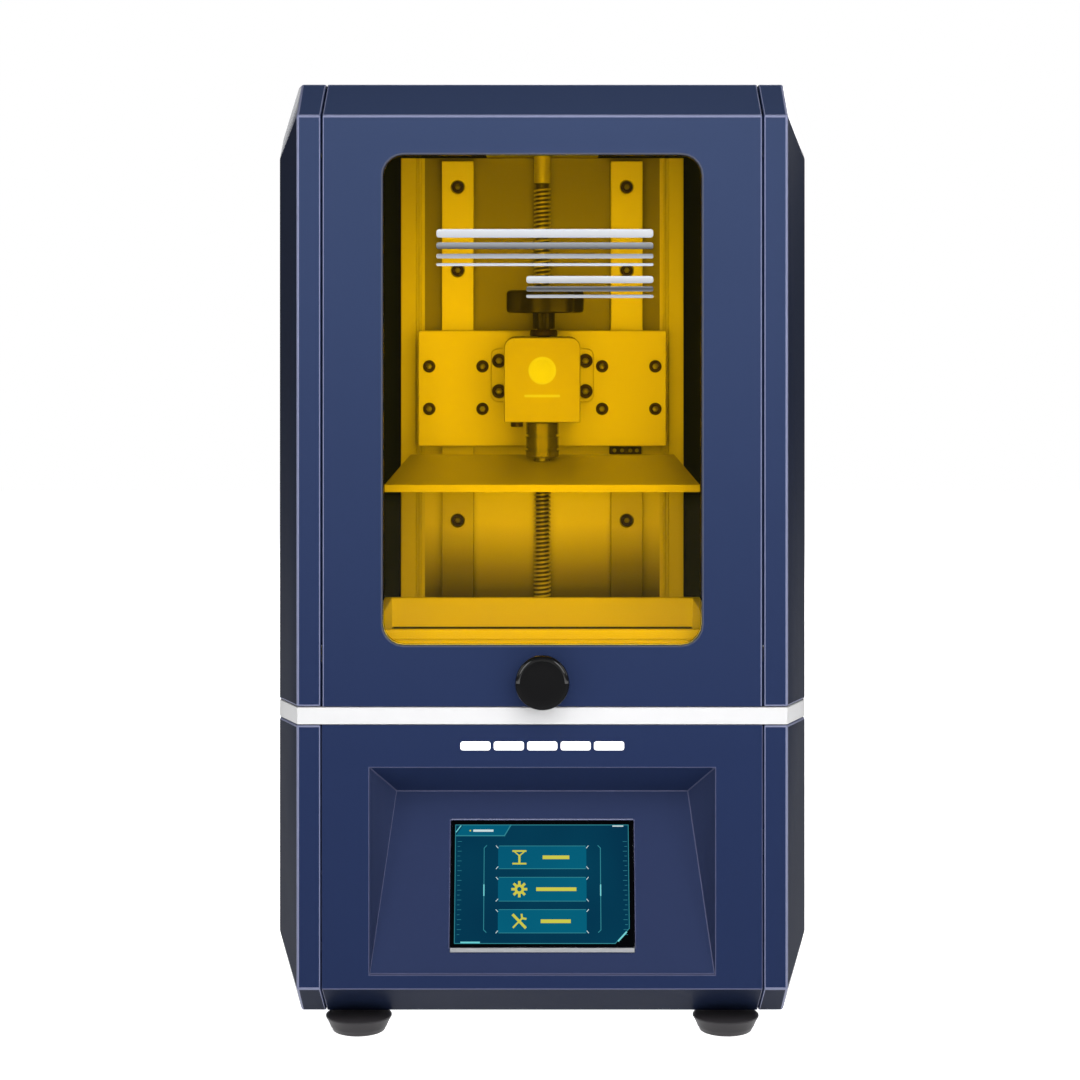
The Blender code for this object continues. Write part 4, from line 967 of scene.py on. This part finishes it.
def screen():
    """The lit picture in thin layers: ground, buttons, lines, accents, ticks, icons and the lip above."""
    frame_line = [(-36.5, 12.4), (30.3, 12.4), (36.2, 18.5), (36.2, 60.85), (-36.5, 60.85)]
    header = [(-36.3, 56.4), (-15.9, 56.4), (-13.2, 60.85), (-33.3, 60.85)]

    bm = bmesh.new()
    patch_on_screen(bm, frame_line, 0.03)
    mesh_piece("screen_ground", bm, "display_back", "base", smooth=False)

    bm = bmesh.new()
    patch_on_screen(bm, header, 0.05)
    for low, high in BUTTONS:
        outline = [(-BUTTON_HALF, low), (BUTTON_HALF, low), (BUTTON_HALF, high), (-BUTTON_HALF, high)]
        patch_on_screen(bm, outline, 0.05)
    mesh_piece("screen_buttons", bm, "display_panel", "base", smooth=False)

    bm = bmesh.new()
    path(bm, frame_line, 0.30, closed=True, lift=0.07)
    path(bm, header[:3], 0.45, lift=0.08)
    for side in (-1, 1):
        x = side * BRACKET_LINE_X
        path(bm, [(x - side, 16.9), (x, 17.9), (x, 51.3), (x - side, 52.3)], 0.32, lift=0.07)
        for i in range(20):
            z = 16.0 + i * 2.0
            stroke(bm, (side * 35.5, z), (side * (33.9 if i % 2 else 34.6), z), 0.16, 0.07)
    for low, high in BUTTONS:
        for z in (low, high):
            stroke(bm, (-18.0, z), (18.0, z), 0.26, 0.07)
    mesh_piece("screen_lines", bm, "display_line", "base", smooth=False)

    bm = bmesh.new()
    stroke(bm, (-33.7, 12.8), (-26.2, 12.8), 0.65, 0.09)
    stroke(bm, (31.7, 13.5), (34.9, 16.9), 0.65, 0.09)
    for side in (-1, 1):
        stroke(bm, (side * BRACKET_LINE_X, 31.9), (side * BRACKET_LINE_X, 36.1), 0.5, 0.09)
    stroke(bm, (-36.2, 58.0), (-34.3, 60.5), 0.4, 0.09)
    mesh_piece("screen_accents", bm, "display_cyan", "base", smooth=False)

    bm = bmesh.new()
    stroke(bm, (29.8, 60.4), (33.9, 60.4), 0.5, 0.09)
    stroke(bm, (-28.6, 58.5), (-21.0, 58.5), 0.9, 0.09)
    for low, high in BUTTONS:
        for side in (-1, 1):
            for z, turn in ((low, 1), (high, -1)):
                stroke(bm, (side * 19.3, z), (side * 18.6, z + turn * 0.8), 0.28, 0.09)
    mesh_piece("screen_ticks", bm, "display_white", "base", smooth=False)

    bm = bmesh.new()
    levels = [(low + high) / 2 for low, high in BUTTONS]

    def around(level, radius, share):
        return ICON_X + radius * math.cos(math.tau * share), level + radius * math.sin(math.tau * share)

    def drawn(level, width, *offsets):
        path(bm, [(ICON_X + x, level + z) for x, z in offsets], width)

    funnel, cog, tools = levels
    drawn(funnel, 0.7, (-2.6, 2.6), (2.6, 2.6))
    drawn(funnel, 0.5, (-1.9, 2.2), (0.0, 0.6), (1.9, 2.2))
    drawn(funnel, 0.9, (0.0, 0.6), (0.0, -2.2))
    drawn(funnel, 0.7, (-2.6, -2.6), (2.6, -2.6))
    for i in range(COG_TEETH):
        stroke(bm, around(cog, 1.5, i / COG_TEETH), around(cog, 2.8, i / COG_TEETH), 1.05)
    path(bm, [around(cog, 1.45, i / 16) for i in range(16)], 1.0, closed=True)
    drawn(tools, 1.1, (-2.4, 2.4), (2.4, -2.4))
    drawn(tools, 0.7, (-2.4, -2.4), (1.2, 1.2))
    drawn(tools, 0.8, (1.0, 2.6), (1.2, 1.2), (2.6, 1.0))
    for z, first, last in zip(levels, (0.9, -1.8, 0.1), (10.6, 13.5, 11.1)):
        stroke(bm, (first, z), (last, z), 1.5)
    patch_on_screen(bm, [(-30.6, 58.2), (-30.0, 58.2), (-30.0, 58.8), (-30.6, 58.8)], 0.10)
    mesh_piece("screen_icons", bm, "display_yellow", "base", smooth=False)

    bm = bmesh.new()
    # the lip above the screen gets the painted edge highlight
    slab(bm, [(-38.2, 62.95), (38.2, 62.95), (38.2, 63.35), (-38.2, 63.35)], -0.22, 0.02, on_panel())
    mesh_piece("screen_lip", bm, "body_edge", "base", smooth=False)


# ---------------------------------------------------------------- vat, back and underside

def knurled_screws():
    """The vat's two thumbscrews."""
    for side in ("left", "right"):
        low, high = corners(f"vat_thumbscrew_{side}")
        x, y = (low.x + high.x) / 2, (low.y + high.y) / 2
        base = high.z - 7.0
        profile = [
            (1.6, low.z, 0), (2.0, low.z + 0.5, 0), (2.0, base, 0), (3.6, base, 0), (4.3, base + 0.4, 0.5),
            (4.65, base + 0.9, 1), (4.65, base + 6.0, 1), (4.3, base + 6.6, 0.5), (3.8, base + 7.0, 0),
            (2.0, base + 7.0, 0), (1.7, base + 6.4, 0),
        ]
        bm = bmesh.new()
        lobed(bm, profile, (x, y, 0), 30, 0.14, 180)
        mesh_piece(f"vat_thumbscrew_{side}_knurled", bm, "thumbscrew_steel", f"vat_screw_{side}",
                   replaces=(f"vat_thumbscrew_{side}",))


def vat_seal():
    """A thin dark strip of painted shade round the foot of the vat's inner walls."""
    x, front, rear, low, thick = 70.2, -66.7, 42.7, 153.6, 0.7
    high = low + 2.5
    bm = bmesh.new()
    box(bm, -x, x, rear - thick, rear, low, high)
    box(bm, -x, x, front, front + thick, low, high)
    for side in (-1, 1):
        box(bm, *sorted((side * x, side * (x - thick))), front + 0.8, rear - 0.8, low, high)
    mesh_piece("vat_seal", bm, "fitting_black", "vat", bevel=0.15)


BACK_SCREW_X = 84.5
BACK_SCREW_Z = (16.0, 124.0, 150.0, 270.0, 388.0)
FAN_SCREW_REACH = 20.5  # from the fan's middle, across and up
SCREW_SINK = 0.6  # how deep the case's screw heads sit


def rear_fittings():
    """The screws of the back panels, the fan and the base."""
    back = corners("upper_back_panel")[1].y - SCREW_SINK
    places = [at(x, back, z, "+Y") for x in (-BACK_SCREW_X, BACK_SCREW_X) for z in BACK_SCREW_Z]
    fan_low, fan_high = corners("exhaust_fan_frame")
    fan = (fan_low + fan_high) / 2
    reach = (-FAN_SCREW_REACH, FAN_SCREW_REACH)
    places += [at(fan.x + across, back, fan.z + up, "+Y") for across in reach for up in reach]
    screw_group("back_screws", places, 2.6, 1.4, "base")
    low = corners("base_pan")[0].z + SCREW_SINK
    places = [at(x, y, low, "-Z") for x in (-55.0, 0.0, 55.0) for y in (-50.0, 74.0)]
    screw_group("base_screws", places, 2.6, 1.4, "base")


POST_GROOVES = (241.2, 247.4)  # heights


def platform_post():
    """A turned post with two grooves, each with a fine lip below it."""
    low, high = corners("platform_post")
    x, y, radius = (low.x + high.x) / 2, (low.y + high.y) / 2, (high.x - low.x) / 2
    profile = [(radius - 0.5, low.z), (radius, low.z + 0.5)]
    for z in POST_GROOVES:
        profile += [
            (radius, z - 0.3), (radius + 0.25, z - 0.2), (radius + 0.25, z + 0.05),
            (radius - 0.7, z + 0.1), (radius - 0.7, z + 1.1), (radius, z + 1.2),
        ]
    profile += [(radius, high.z - 0.4), (radius - 0.4, high.z)]
    bm = bmesh.new()
    lathe(bm, profile, at(x, y, 0), 64)
    mesh_piece("platform_post_turned", bm, "post_aluminium", "platform_mount",
               replaces=("platform_post",))


add_camera()
add_studio()
dress_cad_nodes()
lead_screw()
rails()
carriage_fittings()
clamp_fittings()
hood_fittings()
feet()
screen()
knurled_screws()
vat_seal()
rear_fittings()
platform_post()
